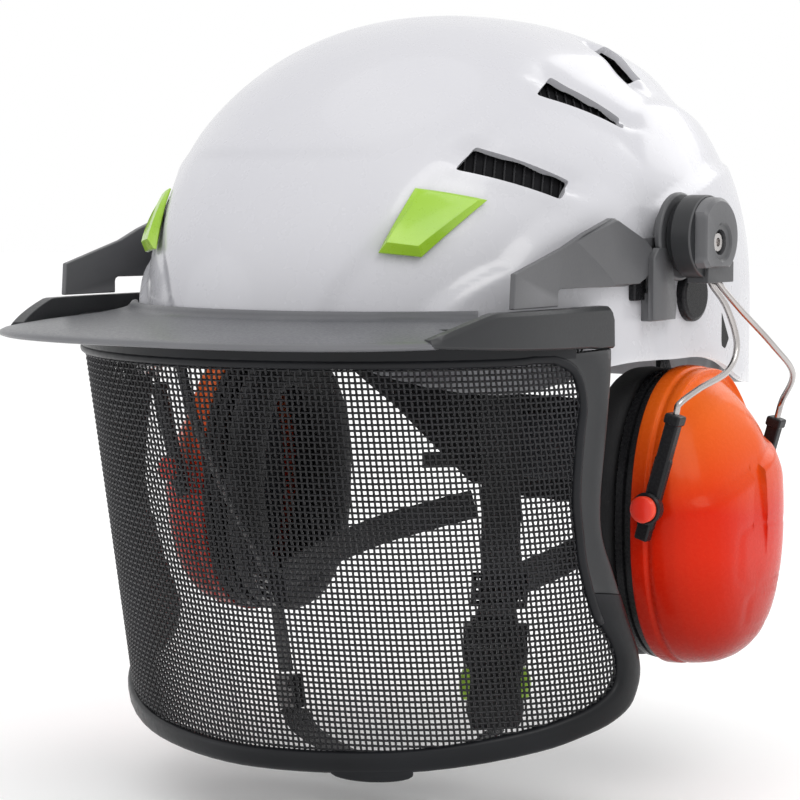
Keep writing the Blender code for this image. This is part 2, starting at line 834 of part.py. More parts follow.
# ---------------------------------------------------------------- webbing and buckle


def frame_along(direction, out):
    """Axes of a fitting on a strap: across, out and along the strap."""
    along = Vector(direction).normalized()
    out = (Vector(out) - along * Vector(out).dot(along)).normalized()
    return (along.cross(out), out, along)


def strap_anchor(side, hand):
    """The tab inside the shell's rim that the front strap is sewn to."""
    out = Vector((0.68, -0.73, 0))
    axes = frame_along((0, 0, 1), out)
    body = box((18, 4, 20), (78.5, -84.5, 3), axes, bevel=1)
    new_object(f"strap_anchor_{hand}", body, "black", side=side)


def ladder(name, centre, along, out, side=1):
    """A strap adjuster: a small frame with a slot that the webbing runs through."""
    axes = frame_along(along, out)
    body = new_object(name, box((22, 6.6, 12), centre, axes, bevel=1), "black", side=side)
    slot = box((WEB_WIDTH + 2.8, WEB_WALL + 2.3, 20), centre, axes)
    combine(body, new_object(f"{name}_slot", slot, "black", side=side), "DIFFERENCE")


def webbing():
    top = Vector((78.5, -84, -7.6))
    junction_left = Vector((62, -58, -104))
    plug_top = BUCKLE + Vector((0, 0, 26.2))
    route = smooth_route([top, (76, -79, -40), (69, -68, -76), junction_left, plug_top], 16)
    new_object("strap_front_left", band(route, CHEEK_OUT, WEB_WIDTH, WEB_WALL), "webbing")
    ladder("strap_adjuster_left", junction_left, plug_top - Vector((69, -68, -76)), CHEEK_OUT)
    junction_right = Vector((62, -42, -117))
    length_adjuster = Vector((52, -42, -160))
    route = [top, (76, -77, -40), (69, -62, -78), junction_right, length_adjuster + Vector((1.9, 0, 8))]
    route = smooth_route(route, 16)
    new_object("strap_front_right", band(route, CHEEK_OUT, WEB_WIDTH, WEB_WALL), "webbing", side=-1)
    along = length_adjuster - Vector((69, -62, -78))
    ladder("strap_adjuster_right", junction_right, along, CHEEK_OUT, side=-1)
    body = box((21, 6, 14), length_adjuster, frame_along((10, 0, 43), CHEEK_OUT), bevel=1)
    new_object("length_adjuster", body, "black", side=-1)
    rear_strap("left", 1, junction_left)
    rear_strap("right", -1, junction_right)
    chin_strap(length_adjuster)


def rear_strap(hand, side, junction):
    """From the strap adjuster to the inside of the nape cradle; the right one hangs lower."""
    start = junction + Vector((2.0, 11.5, 3))
    if hand == "left":
        route = smooth_route([start, (68, -18, -96), (72, 20, -86), (67, 48, -76)], 16)
    else:
        route = smooth_route([start, (69, 0, -110), (66, 40, -103), (52, 68, -97), (40, 80, -93)], 16)
    facing = [Vector((1, max(point.y - 10, 0) / 40, 0)) for point in route]
    new_object(f"strap_rear_{hand}", band(route, facing, WEB_WIDTH - 2, WEB_WALL), "webbing", side=side)


def chin_strap(length_adjuster):
    right_end = length_adjuster + Vector((-1.8, 0, -8.2))
    right_end.x = -right_end.x
    left_end = BUCKLE + Vector((0, 0, -17.6))
    route = [right_end, (-38, -46, -176), (0, -54, -182), (36, -53, -177), left_end]
    route = smooth_route(route, 12)
    middle = Vector((0, -40, -100))
    facing = [point - middle for point in route]
    for place in facing:
        place.y *= 0.4
    new_object("chin_strap", band(route, facing, WEB_WIDTH, WEB_WALL), "webbing")


def buckle():
    """Side-release buckle: socket below, plug above, and two prongs that are pressed inwards."""
    across = Vector((math.cos(CHEEK_ANGLE), math.sin(CHEEK_ANGLE), 0))
    axes = (across, CHEEK_OUT, Vector((0, 0, 1)))
    up = Vector((0, 0, 1))
    socket = new_object("buckle_socket", box((27, 10, 32), BUCKLE, axes, bevel=1.2), "black", BUCKLE)
    cavity = box((24, 6.6, 32), BUCKLE + up * 2.5, axes)
    combine(socket, new_object("socket_cavity", cavity, "black"), "DIFFERENCE")
    windows = box((40, 7.2, 13), BUCKLE + up * 1, axes)
    combine(socket, new_object("socket_windows", windows, "black"), "DIFFERENCE")
    base = BUCKLE + up * 20.6
    plug = new_object("buckle_plug", box((25, 8.6, 8.6), base, axes, bevel=1), "black", BUCKLE)
    tongue = box((11, 5.4, 24), BUCKLE + up * 6, axes)
    combine(plug, new_object("plug_tongue", tongue, "black"), "UNION")
    for sign, hand in ((1, "left"), (-1, "right")):
        centre = BUCKLE + across * sign * 11.4
        prong = box((5.4, 5.8, 11), centre + up * 1, axes, bevel=0.8)
        prong = new_object(f"buckle_prong_{hand}", prong, "lime", centre)
        leg = box((2.2, 5.2, 22), centre - across * sign * 1.6 + up * 4.6, axes)
        combine(prong, new_object(f"prong_leg_{hand}", leg, "lime"), "UNION")


# ---------------------------------------------------------------- the helmet


def main():
    for obj in list(bpy.data.objects):
        bpy.data.objects.remove(obj)
    shell()
    impact_liner()
    crown_pad()
    headband()
    nape_cradle()
    adjuster()
    lamp_clips()
    visor_frame()
    visor_mesh()
    visor_top_rail()
    side_blocks()
    visor_arms()
    peak()
    ear_muffs()
    for side, hand in ((1, "left"), (-1, "right")):
        strap_anchor(side, hand)
    webbing()
    buckle()


main()
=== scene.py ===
"""Looks of the forestry helmet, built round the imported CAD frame.

Lengths are millimetres unless a name says otherwise; piece() turns them into metres. Left pieces
are drawn at +X and mirrored for the right side, as in the CAD.
"""

import math

import bmesh
import bpy
import numpy as np
from mathutils import Matrix, Vector


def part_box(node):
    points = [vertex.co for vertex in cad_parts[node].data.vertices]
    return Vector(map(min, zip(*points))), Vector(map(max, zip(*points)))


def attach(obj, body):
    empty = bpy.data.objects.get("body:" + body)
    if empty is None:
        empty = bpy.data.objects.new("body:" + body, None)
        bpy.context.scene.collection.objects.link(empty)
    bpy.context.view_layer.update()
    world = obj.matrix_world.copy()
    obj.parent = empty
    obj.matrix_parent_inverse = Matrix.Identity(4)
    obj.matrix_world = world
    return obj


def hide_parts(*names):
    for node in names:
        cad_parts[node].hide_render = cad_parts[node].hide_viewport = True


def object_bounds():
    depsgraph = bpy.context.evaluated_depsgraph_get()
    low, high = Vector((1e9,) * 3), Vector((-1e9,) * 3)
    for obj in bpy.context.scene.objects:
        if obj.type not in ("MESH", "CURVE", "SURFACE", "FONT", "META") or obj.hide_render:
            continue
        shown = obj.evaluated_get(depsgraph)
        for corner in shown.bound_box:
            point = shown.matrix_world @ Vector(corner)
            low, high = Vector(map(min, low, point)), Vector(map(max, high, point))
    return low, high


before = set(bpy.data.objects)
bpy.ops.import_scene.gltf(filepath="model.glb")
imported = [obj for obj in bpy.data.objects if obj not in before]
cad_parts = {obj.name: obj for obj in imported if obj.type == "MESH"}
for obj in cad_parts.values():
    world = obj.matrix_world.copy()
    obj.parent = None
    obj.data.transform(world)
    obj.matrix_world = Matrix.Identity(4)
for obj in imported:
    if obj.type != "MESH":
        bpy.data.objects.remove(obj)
CAD_BOX = [list(corner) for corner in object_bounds()]

MM = 0.001
SIDES = ((1, "left"), (-1, "right"))

# Camera

AZIMUTH, ELEVATION, DISTANCE = math.radians(35), math.radians(5), 1.0
RIGHT_SHIFT, UP_SHIFT = 0.02083, 0.0375
LENS, SENSOR = 108, 36


def add(name, data):
    obj = bpy.data.objects.new(name, data)
    bpy.context.scene.collection.objects.link(obj)
    return obj


def make_camera():
    back = Vector(
        (
            math.sin(AZIMUTH) * math.cos(ELEVATION),
            -math.cos(AZIMUTH) * math.cos(ELEVATION),
            math.sin(ELEVATION),
        )
    )
    right = Vector((math.cos(AZIMUTH), math.sin(AZIMUTH), 0))
    up = back.cross(right)
    data = bpy.data.cameras.new("camera")
    data.lens, data.sensor_width = LENS, SENSOR
    camera = add("camera", data)
    place = Matrix((right, up, back)).transposed().to_4x4()
    place.translation = back * DISTANCE - right * RIGHT_SHIFT - up * UP_SHIFT
    camera.matrix_world = place
    bpy.context.scene.camera = camera


make_camera()

# Materials

SPECULAR = {"grey": 0.3, "black": 0.16, "rubber": 0.2, "liner": 0.1, "mesh": 0.3, "red": 0.3, "orange": 0.2}
MADE = {}


def node(tree, kind, **settings):
    made = tree.nodes.new("ShaderNode" + kind)
    for key, value in settings.items():
        setattr(made, key, value)
    return made


def put(made, **values):
    """Sets a node's sockets by name, with _ for each space."""
    for name, value in values.items():
        made.inputs[name.replace("_", " ")].default_value = value


def noise(tree, coords, scale, detail=2.0, rough=0.5):
    made = node(tree, "TexNoise")
    put(made, Scale=scale, Detail=detail, Roughness=rough)
    tree.links.new(coords, made.inputs["Vector"])
    return made.outputs["Fac"]


def mix_colour(tree, factor, first, second):
    made = node(tree, "Mix", data_type="RGBA")
    tree.links.new(factor, made.inputs[0])
    for socket, value in ((made.inputs[6], first), (made.inputs[7], second)):
        if isinstance(value, tuple):
            socket.default_value = (*value, 1)
        else:
            tree.links.new(value, socket)
    return made.outputs[2]


def spread(tree, value, low, high, low_in=0.3, high_in=0.7):
    made = node(tree, "MapRange")
    put(made, From_Min=low_in, From_Max=high_in, To_Min=low, To_Max=high)
    tree.links.new(value, made.inputs["Value"])
    return made.outputs["Result"]


def new_shader(name):
    made = bpy.data.materials.new(name)
    made.use_nodes = True
    tree = made.node_tree
    shader = tree.nodes["Principled BSDF"]
    if name in SPECULAR:
        put(shader, Specular_IOR_Level=SPECULAR[name])
    coords = node(tree, "TexCoord")
    MADE[name] = made
    return tree, shader, coords


def paint(tree, shader, colour, rough):
    tree.links.new(colour, shader.inputs["Base Color"])
    tree.links.new(rough, shader.inputs["Roughness"])


def bump(tree, shader, height, strength, distance):
    made = node(tree, "Bump")
    put(made, Strength=strength, Distance=distance * MM)
    tree.links.new(height, made.inputs["Height"])
    tree.links.new(made.outputs["Normal"], shader.inputs["Normal"])


def moulded(name, colour, shade, rough, grain=700, depth=0.05, wear=None, coat=0.0, patch=30):
    """Moulded plastic or rubber: slow colour drift, fine texture and rubbed edges."""
    tree, shader, coords = new_shader(name)
    place = coords.outputs["Object"]
    base = mix_colour(tree, spread(tree, noise(tree, place, patch, 3), 0, 1), colour, shade)
    if wear:
        edge = node(tree, "NewGeometry")
        amount = spread(tree, edge.outputs["Pointiness"], 0, 0.55, 0.51, 0.6)
        base = mix_colour(tree, amount, base, wear)
    fine = noise(tree, place, grain, 4, 0.6)
    paint(tree, shader, base, spread(tree, fine, rough - 0.06, rough + 0.08))
    bump(tree, shader, fine, 0.5, depth)
    if coat:
        put(shader, Coat_Weight=coat, Coat_Roughness=0.06)
    return shader


# Heights between which the cup's painted light and shade turn, from its middle tone to the lighter top one
# and from the darker bottom one to the middle one.
PAINTED_LIGHT_HEIGHTS, PAINTED_SHADE_HEIGHTS = (-68 * MM, -26 * MM), (-140 * MM, -84 * MM)


def plastic_with_painted_shading(name, top, middle, bottom, rough, coat):
    """Glossy cup plastic with painted light and shade: lighter at the top and darker towards the bottom."""
    tree, shader, coords = new_shader(name)
    place = coords.outputs["Object"]
    split = node(tree, "SeparateXYZ")
    tree.links.new(place, split.inputs[0])
    drift = noise(tree, place, 25, 2)
    added = node(tree, "Math", operation="MULTIPLY_ADD")
    added.inputs[1].default_value = 0.012
    tree.links.new(drift, added.inputs[0])
    tree.links.new(split.outputs["Z"], added.inputs[2])
    # Painted light and shade: by height, the colour lightens towards the top and darkens towards the bottom.
    upper = spread(tree, added.outputs[0], 0, 1, *PAINTED_LIGHT_HEIGHTS)
    lower = spread(tree, added.outputs[0], 0, 1, *PAINTED_SHADE_HEIGHTS)
    colour = mix_colour(tree, lower, bottom, mix_colour(tree, upper, middle, top))
    fine = noise(tree, place, 500, 3)
    paint(tree, shader, colour, spread(tree, fine, rough - 0.03, rough + 0.05))
    bump(tree, shader, fine, 0.25, 0.03)
    put(shader, Specular_Tint=(1.0, 0.62, 0.35, 1), Coat_Weight=coat, Coat_Roughness=0.1)


RIB_SCALE, ROUGH_DRIFT = 0.24, 0.1


def woven(name, colour, light, along, rough):
    """Webbing: ribs and picks in UV millimetres, with a lighter thread on top."""
    tree, shader, coords = new_shader(name)
    ribs = node(tree, "TexWave", wave_type="BANDS", bands_direction="X")
    picks = node(tree, "TexWave", wave_type="BANDS", bands_direction="DIAGONAL")
    for wave, scale in ((ribs, RIB_SCALE), (picks, along)):
        put(wave, Scale=scale, Distortion=0.4, Detail=1)
        tree.links.new(coords.outputs["UV"], wave.inputs["Vector"])
    both = node(tree, "Math", operation="MULTIPLY")
    tree.links.new(ribs.outputs["Fac"], both.inputs[0])
    tree.links.new(picks.outputs["Fac"], both.inputs[1])
    height = both.outputs[0]
    fuzz = noise(tree, coords.outputs["Object"], 900, 4)
    shade = mix_colour(tree, spread(tree, fuzz, 0, 0.5), colour, light)
    rough_ends = rough - ROUGH_DRIFT, rough + ROUGH_DRIFT
    paint(tree, shader, mix_colour(tree, height, shade, light), spread(tree, fuzz, *rough_ends))
    bump(tree, shader, height, 0.8, 0.25)
    put(shader, Sheen_Weight=0.25, Sheen_Roughness=0.4)


def foam(name, colour, light, scale, depth):
    """Padding cloth: a fine knit over soft mottling."""
    tree, shader, coords = new_shader(name)
    place = coords.outputs["Object"]
    cells = node(tree, "TexVoronoi", feature="F1")
    put(cells, Scale=scale)
    tree.links.new(place, cells.inputs["Vector"])
    mottle = noise(tree, place, 60, 4)
    base = mix_colour(tree, spread(tree, mottle, 0, 1), colour, light)
    paint(tree, shader, base, spread(tree, mottle, 0.7, 0.92))
    bump(tree, shader, cells.outputs["Distance"], 0.6, depth)
    put(shader, Sheen_Weight=0.2)


def make_materials():
    moulded("shell", (0.53, 0.53, 0.565), (0.56, 0.56, 0.59), 0.26, 60, 0.02, (0.7, 0.7, 0.72), 0.3, 12)
    moulded("grey", (0.02, 0.021, 0.023), (0.027, 0.028, 0.03), 0.36, 900, 0.05, (0.12, 0.12, 0.125))
    moulded("peak", (0.075, 0.077, 0.086), (0.095, 0.097, 0.106), 0.34, 900, 0.05, (0.2, 0.2, 0.21))
    moulded("arm", (0.052, 0.053, 0.057), (0.068, 0.069, 0.073), 0.36, 900, 0.05, (0.2, 0.2, 0.21))
    moulded("black", (0.007, 0.007, 0.008), (0.011, 0.011, 0.012), 0.26, 800, 0.05, (0.03, 0.03, 0.033))
    moulded("rubber", (0.004, 0.0045, 0.0055), (0.008, 0.009, 0.011), 0.36, 500, 0.06, (0.03, 0.03, 0.034))
    moulded("liner", (0.006, 0.006, 0.007), (0.018, 0.018, 0.02), 0.75, 350, 0.4)
    moulded("mesh", (0.006, 0.006, 0.007), (0.016, 0.016, 0.019), 0.28, 1500, 0.02)
    moulded("lime", (0.25, 0.47, 0.012), (0.33, 0.56, 0.03), 0.3, 600, 0.04, (0.5, 0.7, 0.15), 0.2)
    moulded("red", (0.74, 0.03, 0.014), (0.66, 0.022, 0.01), 0.32, 500, 0.04, (0.85, 0.12, 0.05), 0.15)
    steel = moulded("steel", (0.56, 0.54, 0.53), (0.4, 0.37, 0.36), 0.22, 900, 0.02)
    put(steel, Metallic=1.0)
    # The cup's three tones: painted light at the top, its orange-red in the middle and painted shade at the
    # bottom.
    plastic_with_painted_shading("orange", (0.76, 0.12, 0.01), (0.58, 0.014, 0.003), (0.20, 0.004, 0.003), 0.26, 0.05)
    woven("webbing", (0.006, 0.006, 0.007), (0.022, 0.023, 0.027), 0.7, 0.7)
    foam("pad", (0.006, 0.007, 0.011), (0.016, 0.018, 0.026), 900, 0.25)
    foam("leather", (0.005, 0.005, 0.006), (0.011, 0.011, 0.013), 1400, 0.1)


make_materials()

# Mesh tools

BEVEL_SEGMENTS = 3
BEVEL_ANGLE = math.radians(32)


def signed_volume(bm):
    return sum(a.vert.co.cross(b.vert.co).dot(c.vert.co) for a, b, c in bm.calc_loop_triangles())


def piece(name, bm, finish, body, nodes=(), side=1, sharp=None, bevel=0.0):
    """Makes a piece from a mesh in millimetres, gives it its material and lets it ride on its body."""
    bm.transform(Matrix.Diagonal((side * MM, MM, MM, 1)))
    if signed_volume(bm) < 0:
        bmesh.ops.reverse_faces(bm, faces=bm.faces)
    bm.normal_update()
    mesh = bpy.data.meshes.new(name)
    bm.to_mesh(mesh)
    bm.free()
    mesh.shade_smooth()
    if sharp:
        mesh.set_sharp_from_angle(angle=math.radians(sharp))
    mesh.materials.append(MADE[finish])
    obj = add(name, mesh)
    if bevel:
        step = obj.modifiers.new("bevel", "BEVEL")
        step.width = bevel * MM
        step.segments = BEVEL_SEGMENTS
        step.limit_method = "ANGLE"
        step.angle_limit = BEVEL_ANGLE
        step.harden_normals = True
    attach(obj, body)
    if nodes:
        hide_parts(*([nodes] if isinstance(nodes, str) else nodes))
    return obj


def loft(rings, path_closed=False, bm=None):
    """Skins a row of rings; an open path gets flat ends. The faces go into bm if one is given."""
    if bm is None:
        bm = bmesh.new()
    rows = [[bm.verts.new(point) for point in ring] for ring in rings]
    steps = list(zip(rows, rows[1:]))
    if path_closed:
        steps.append((rows[-1], rows[0]))
    for near, far in steps:
        bridge(bm, near, far)
    if not path_closed:
        bm.faces.new(rows[0][::-1])
        bm.faces.new(rows[-1])
    return bm


def bridge(bm, near, far):
    count = len(near)
    for i in range(count):
        j = (i + 1) % count
        bm.faces.new((near[i], near[j], far[j], far[i]))


def join(*meshes):
    """Several closed meshes as one."""
    whole = meshes[0]
    for other in meshes[1:]:
        copy = bpy.data.meshes.new("part")
        other.to_mesh(copy)
        other.free()
        whole.from_mesh(copy)
        bpy.data.meshes.remove(copy)
    return whole


def box(size, centre, axes=None):
    bm = bmesh.new()
    bmesh.ops.create_cube(bm, size=1)
    turn = Matrix.Identity(3) if axes is None else Matrix(axes).transposed()
    bm.transform(Matrix.Translation(centre) @ (turn @ Matrix.Diagonal(size)).to_4x4())
    if turn.determinant() < 0:
        bmesh.ops.reverse_faces(bm, faces=bm.faces)
    return bm


def circle(centre, radius, along, count):
    first, second = {"X": (1, 2), "Y": (2, 0), "Z": (0, 1)}[along]
    points = []
    for i in range(count):
        angle = 2 * math.pi * i / count
        point = Vector(centre)
        point[first] += radius * math.cos(angle)
        point[second] += radius * math.sin(angle)
        points.append(point)
    return points


def turned(profile, centre, along="X", count=48):
    """A lathe shape: profile lists (place along the axis, radius)."""
    axis = "XYZ".index(along)
    rings = []
    for place, radius in profile:
        middle = Vector(centre)
        middle[axis] = place
        rings.append(circle(middle, radius, along, count))
    return loft(rings)


def spline(knots, steps_between):
    """A Catmull-Rom curve through the knots; steps_between gives how many steps one span takes."""
    knots = [knots[0] * 2 - knots[1], *knots, knots[-1] * 2 - knots[-2]]
    route = []
    for a, b, c, d in zip(knots, knots[1:], knots[2:], knots[3:]):
        pieces = steps_between(b, c)
        for i in range(pieces):
            t = i / pieces
            bend = 2 * b + (c - a) * t + (2 * a - 5 * b + 4 * c - d) * t**2
            route.append(0.5 * (bend + (3 * b - a - 3 * c + d) * t**3))
    route.append(knots[-2])
    return route


def smooth_route(points, step):
    """Points about one step apart along a smooth curve through the given ones."""
    return spline([Vector(point) for point in points], lambda b, c: max(1, round((c - b).length / step)))


def tangent(path, i):
    return (path[min(i + 1, len(path) - 1)] - path[max(i - 1, 0)]).normalized()


def rod(path, radius, count=12):
    """A round tube along a path, with its rings turned as little as possible."""
    path = [Vector(point) for point in path]
    rings, side_way = [], None
    for i, point in enumerate(path):
        along = tangent(path, i)
        if side_way is None:
            side_way = along.orthogonal().normalized()
        side_way = (side_way - along * side_way.dot(along)).normalized()
        other = along.cross(side_way)
        turns = (2 * math.pi * k / count for k in range(count))
        rings.append([point + (side_way * math.cos(a) + other * math.sin(a)) * radius for a in turns])
    return loft(rings)


def power(value, exponent):
    return math.copysign(abs(value) ** exponent, value)


def oval(count, exponent):
    """Cosine and sine round a turn, squared off by an exponent under 1."""
    turns = (2 * math.pi * k / count for k in range(count))
    return [(power(math.cos(turn), exponent), power(math.sin(turn), exponent)) for turn in turns]


def arc(first, last, count):
    """Evenly spaced angles, from degrees to radians."""
    return [math.radians(first + (last - first) * i / (count - 1)) for i in range(count)]


def ease(value):
    """0 below 0, 1 above 1 and smooth between."""
    value = np.clip(value, 0, 1)
    return value * value * (3 - 2 * value)


# The dome

HALF_WIDTH, FRONT, REAR, HEIGHT, WALL = 108, 143, 150, 121, 3.5
PLAN_POWER = 2.15
SECTION_POWER, SECTION_GAIN = 2.0, 0.45
RIM_BLEND = (-6, -3, 0, 3, 6)
RIM_ANGLES = (0, 15, 21, 31, 49, 58, 66, 72, 97, 103, 110, 125, 150, 180)
RIM_HEIGHTS = (-6, -8, -11.5, -19, -25.5, -24, -18.5, -15, -15.5, -20, -28, -32, -36, -36)


def rim_height(angle):
    around = np.abs(np.degrees(np.arctan2(np.sin(angle), np.cos(angle))))
    total = 0
    for offset in RIM_BLEND:
        total = total + np.interp(np.abs(around + offset), RIM_ANGLES, RIM_HEIGHTS)
    return total / len(RIM_BLEND)


def section_power(cosine):
    """How square the upright section is, by the cosine of the angle from the front."""
    return SECTION_POWER + SECTION_GAIN * (0.5 - 0.5 * cosine)


def dome_at(angle, z, inset):
    """Points of the dome at these angles from the front and these heights."""
    height = HEIGHT - inset
    roundness = section_power(np.cos(angle))
    level = np.clip(np.maximum(z, 0) / height, 0, 1)
    reach = (1 - level**roundness) ** (1 / roundness)
    length = np.where(np.cos(angle) > 0, FRONT, REAR) - inset
    sine, cosine = np.sin(angle), np.cos(angle)
    x = (HALF_WIDTH - inset) * np.sign(sine) * np.abs(sine) ** (2 / PLAN_POWER)
    y = -length * np.sign(cosine) * np.abs(cosine) ** (2 / PLAN_POWER)
    return np.stack([x * reach, y * reach, z + 0 * x], -1)


def dome_grid(inset, rim, lifts, count):
    angle = (2 * np.pi * np.arange(count) / count)[None, :]
    low = rim(angle)
    height = HEIGHT - inset
    z = low + (height - low) * np.sin(np.radians(lifts))[:, None]
    return dome_at(angle + 0 * z, z, inset)


def outside(point, inset=0.0):
    """How far a point is from the dome's centre, against the dome's surface there: 1 is on it."""
    x, y, z = point
    angle = math.atan2(x, -y)
    roundness = section_power(math.cos(angle))
    length = (FRONT if y < 0 else REAR) - inset
    plan = (abs(x) / (HALF_WIDTH - inset)) ** PLAN_POWER + (abs(y) / length) ** PLAN_POWER
    level = max(z, 0) / (HEIGHT - inset)
    return (plan ** (roundness / PLAN_POWER) + level**roundness) ** (1 / roundness)


def on_dome(point, inset=0.0):
    return Vector(point) / outside(point, inset)


def dome_normal(point):
    half_steps = [0.5 * axis for axis in Matrix.Identity(3)]
    return Vector([outside(point + step) - outside(point - step) for step in half_steps]).normalized()


VENTS = {
    "front": ((66, -95, 58), (69, -85, 64), (92, -54, 52), (91, -62, 47)),
    "middle": ((71, -47, 87), (70, -33, 92), (87, -6, 78), (89, -12, 74)),
    "rear": ((54, 27, 109), (54, 35, 108), (72, 34, 96), (72, 27, 97)),
}
VENT_ROUND, VENT_RISE, VENT_STRETCH = 1.4, 1.2, 1.45


def vent_frame(corners):
    """Middle, axes (along, across, outwards) and corners in the plane of a vent."""
    corners = [Vector(corner) for corner in corners]
    middle = sum(corners, Vector()) / 4
    along = ((corners[2] + corners[3]) - (corners[0] + corners[1])).normalized()
    out = (corners[2] - corners[0]).cross(corners[3] - corners[1]).normalized()
    if out.dot(middle) < 0:
        out = -out
    across = out.cross(along).normalized()
    if across.z < 0:
        across = -across
    flat = [((corner - middle).dot(along), (corner - middle).dot(across)) for corner in corners]
    return middle, along, across, out, flat


def polygon_distance(u, v, flat):
    """Signed distance to a convex polygon, negative inside."""
    best = np.full(u.shape, 1e9)
    inside = np.full(u.shape, True)
    turn = 0.0
    for (x0, y0), (x1, y1) in zip(flat, flat[1:] + flat[:1]):
        turn += x0 * y1 - x1 * y0
    for (x0, y0), (x1, y1) in zip(flat, flat[1:] + flat[:1]):
        dx, dy = x1 - x0, y1 - y0
        t = np.clip(((u - x0) * dx + (v - y0) * dy) / (dx * dx + dy * dy), 0, 1)
        best = np.minimum(best, np.hypot(u - x0 - t * dx, v - y0 - t * dy))
        inside &= ((u - x0) * dy - (v - y0) * dx) * math.copysign(1, turn) < 0
    return np.where(inside, -best, best)


RIDGE_TURNS = (0, 6, 17, 31, 50, 78, 107, 136, 164, 200)
RIDGE_HALF_WIDTHS = (30, 36, 51, 61, 68, 66, 61, 53, 42, 34)
FLANK_TURNS = (-30, 3, 14, 32, 53, 78, 100, 130, 160, 200)
FLANK_HALF_WIDTHS = (58, 67, 84, 92, 95.5, 93, 82, 73, 62, 52)
RIDGE_DROP, FLANK_RISE = 1.5, 2.9
CREASE_DEPTH, CREASE_TOP, CREASE_FADE = 1.1, 66, 56
RIM_FLARE, RIM_FLARE_SPREAD = 1.6, 5.0
MUFF_STEP = 1.9
STEP_PLACES, STEP_HEIGHTS = (-16, 38, 75, 120, 150), (44.5, 58, 62, 60, 58)
VENT_SINK, SINK_SPREAD, VENT_LIP, LIP_SPREAD = 2.6, 6.5, 0.9, 4.0


def relief(points, rim):
    """How far the sculpted shell stands proud of the plain dome at these points."""
    x = np.abs(points[..., 0])
    y, z = points[..., 1], points[..., 2]
    turn = np.degrees(np.arctan2(z, -y))
    turn = np.where(turn < -90, turn + 360, turn)
    ridge = x - np.interp(turn, RIDGE_TURNS, RIDGE_HALF_WIDTHS)
    flank = x - np.interp(turn, FLANK_TURNS, FLANK_HALF_WIDTHS)
    rise = -RIDGE_DROP * ease((ridge + 1) / 9) + FLANK_RISE * ease((flank + 2) / 7)
    centre = 1 - ease((x - 34) / 16)
    ahead = ease((-y - 40) / 20)
    crease = ease((CREASE_TOP - z) / 4) * (1 - ease((CREASE_FADE - z) / 46))
    rise = rise - CREASE_DEPTH * crease * centre * ahead
    rise = rise + RIM_FLARE * np.exp(-(((z - rim) / RIM_FLARE_SPREAD) ** 2)) * ease((-y + 20) / 60)
    step_line = np.interp(y, STEP_PLACES, STEP_HEIGHTS)
    rise = rise + MUFF_STEP * ease((step_line - z) / 4) * ease((y + 22) / 10) * ease((x - 20) / 30)
    for corners in VENTS.values():
        middle, along, across, out, flat = vent_frame(corners)
        mirrored = np.stack([x, y, z], -1) - np.array(middle)
        u, v, w = (mirrored @ np.array(axis) for axis in (along, across, out))
        gap = np.where(np.abs(w) < 30, polygon_distance(u, v, flat), 99)
        above = ease((v + 2) / 6)
        gap = np.maximum(gap, 0)
        rise = rise - VENT_SINK * np.exp(-((gap / SINK_SPREAD) ** 2)) * above
        rise = rise + VENT_LIP * np.exp(-((gap / LIP_SPREAD) ** 2)) * (1 - above)
    return rise


def grid_normals(points):
    around = np.roll(points, -1, axis=1) - np.roll(points, 1, axis=1)
    upward = np.gradient(points, axis=0)
    normal = np.cross(around, upward)
    normal /= np.linalg.norm(normal, axis=-1, keepdims=True) + 1e-12
    facing = (normal * points).sum(-1, keepdims=True)
    return normal * np.where(facing.mean() < 0, -1, 1)


def rounded_corners(flat, radius, count=4):
    """The polygon's corners rounded off."""
    points = []
    total = len(flat)
    for i in range(total):
        before, here, after = (Vector(flat[k % total]) for k in (i - 1, i, i + 1))
        enter = here + (before - here).normalized() * radius
        leave = here + (after - here).normalized() * radius
        for k in range(count):
            t = k / (count - 1)
            points.append(enter * (1 - t) ** 2 + here * 2 * t * (1 - t) + leave * t * t)
    return points


def vent_cutter():
    tools = []
    for corners in VENTS.values():
        middle, along, across, out, flat = vent_frame(corners)
        outline = rounded_corners([(u, v * VENT_STRETCH + VENT_RISE) for u, v in flat], VENT_ROUND)
        for side in (1, -1):
            rings = []
            for depth, grow in ((-16, 0.9), (16, 1.12)):
                rings.append(
                    [
                        Matrix.Diagonal((side, 1, 1))
                        @ (middle + (along * p[0] + across * p[1]) * grow + out * depth)
                        for p in outline
                    ]
                )
            tool = loft(rings)
            if signed_volume(tool) < 0:
                bmesh.ops.reverse_faces(tool, faces=tool.faces)
            tools.append(tool)
    return join(*tools)


def vector_rows(grid):
    return [list(map(Vector, row)) for row in grid]


SHELL_COUNT, SHELL_WALL = 420, 2.8


def shell():
    lifts = np.concatenate([np.linspace(0, 8, 9), np.linspace(9.2, 88, 88)])
    outer = dome_grid(0, rim_height, lifts, SHELL_COUNT)
    rim = rim_height(2 * np.pi * np.arange(SHELL_COUNT) / SHELL_COUNT)[None, :]
    outer = outer + grid_normals(outer) * relief(outer, rim)[..., None]
    inner = (outer - grid_normals(outer) * SHELL_WALL)[::4]
    inner[0, :, 2] = outer[0, :, 2]
    rows = vector_rows(outer[::-1]) + vector_rows(inner)
    tool_mesh = bpy.data.meshes.new("vent_tool")
    cutter = vent_cutter()
    cutter.transform(Matrix.Scale(MM, 4))
    cutter.to_mesh(tool_mesh)
    cutter.free()
    tool = add("vent_tool", tool_mesh)
    obj = piece("helmet_shell", loft(rows), "shell", "helmet", "shell")
    step = obj.modifiers.new("vents", "BOOLEAN")
    step.operation, step.solver, step.object = "DIFFERENCE", "EXACT", tool
    bpy.context.view_layer.update()
    graph = bpy.context.evaluated_depsgraph_get()
    cut = bpy.data.meshes.new_from_object(obj.evaluated_get(graph))
    obj.modifiers.clear()
    obj.data = cut
    bpy.data.objects.remove(tool)
    cut.shade_smooth()
    cut.set_sharp_from_angle(angle=math.radians(42))


shell()


GRILLE_PITCH, GRILLE_DEPTH = 4.2, WALL + 3.2


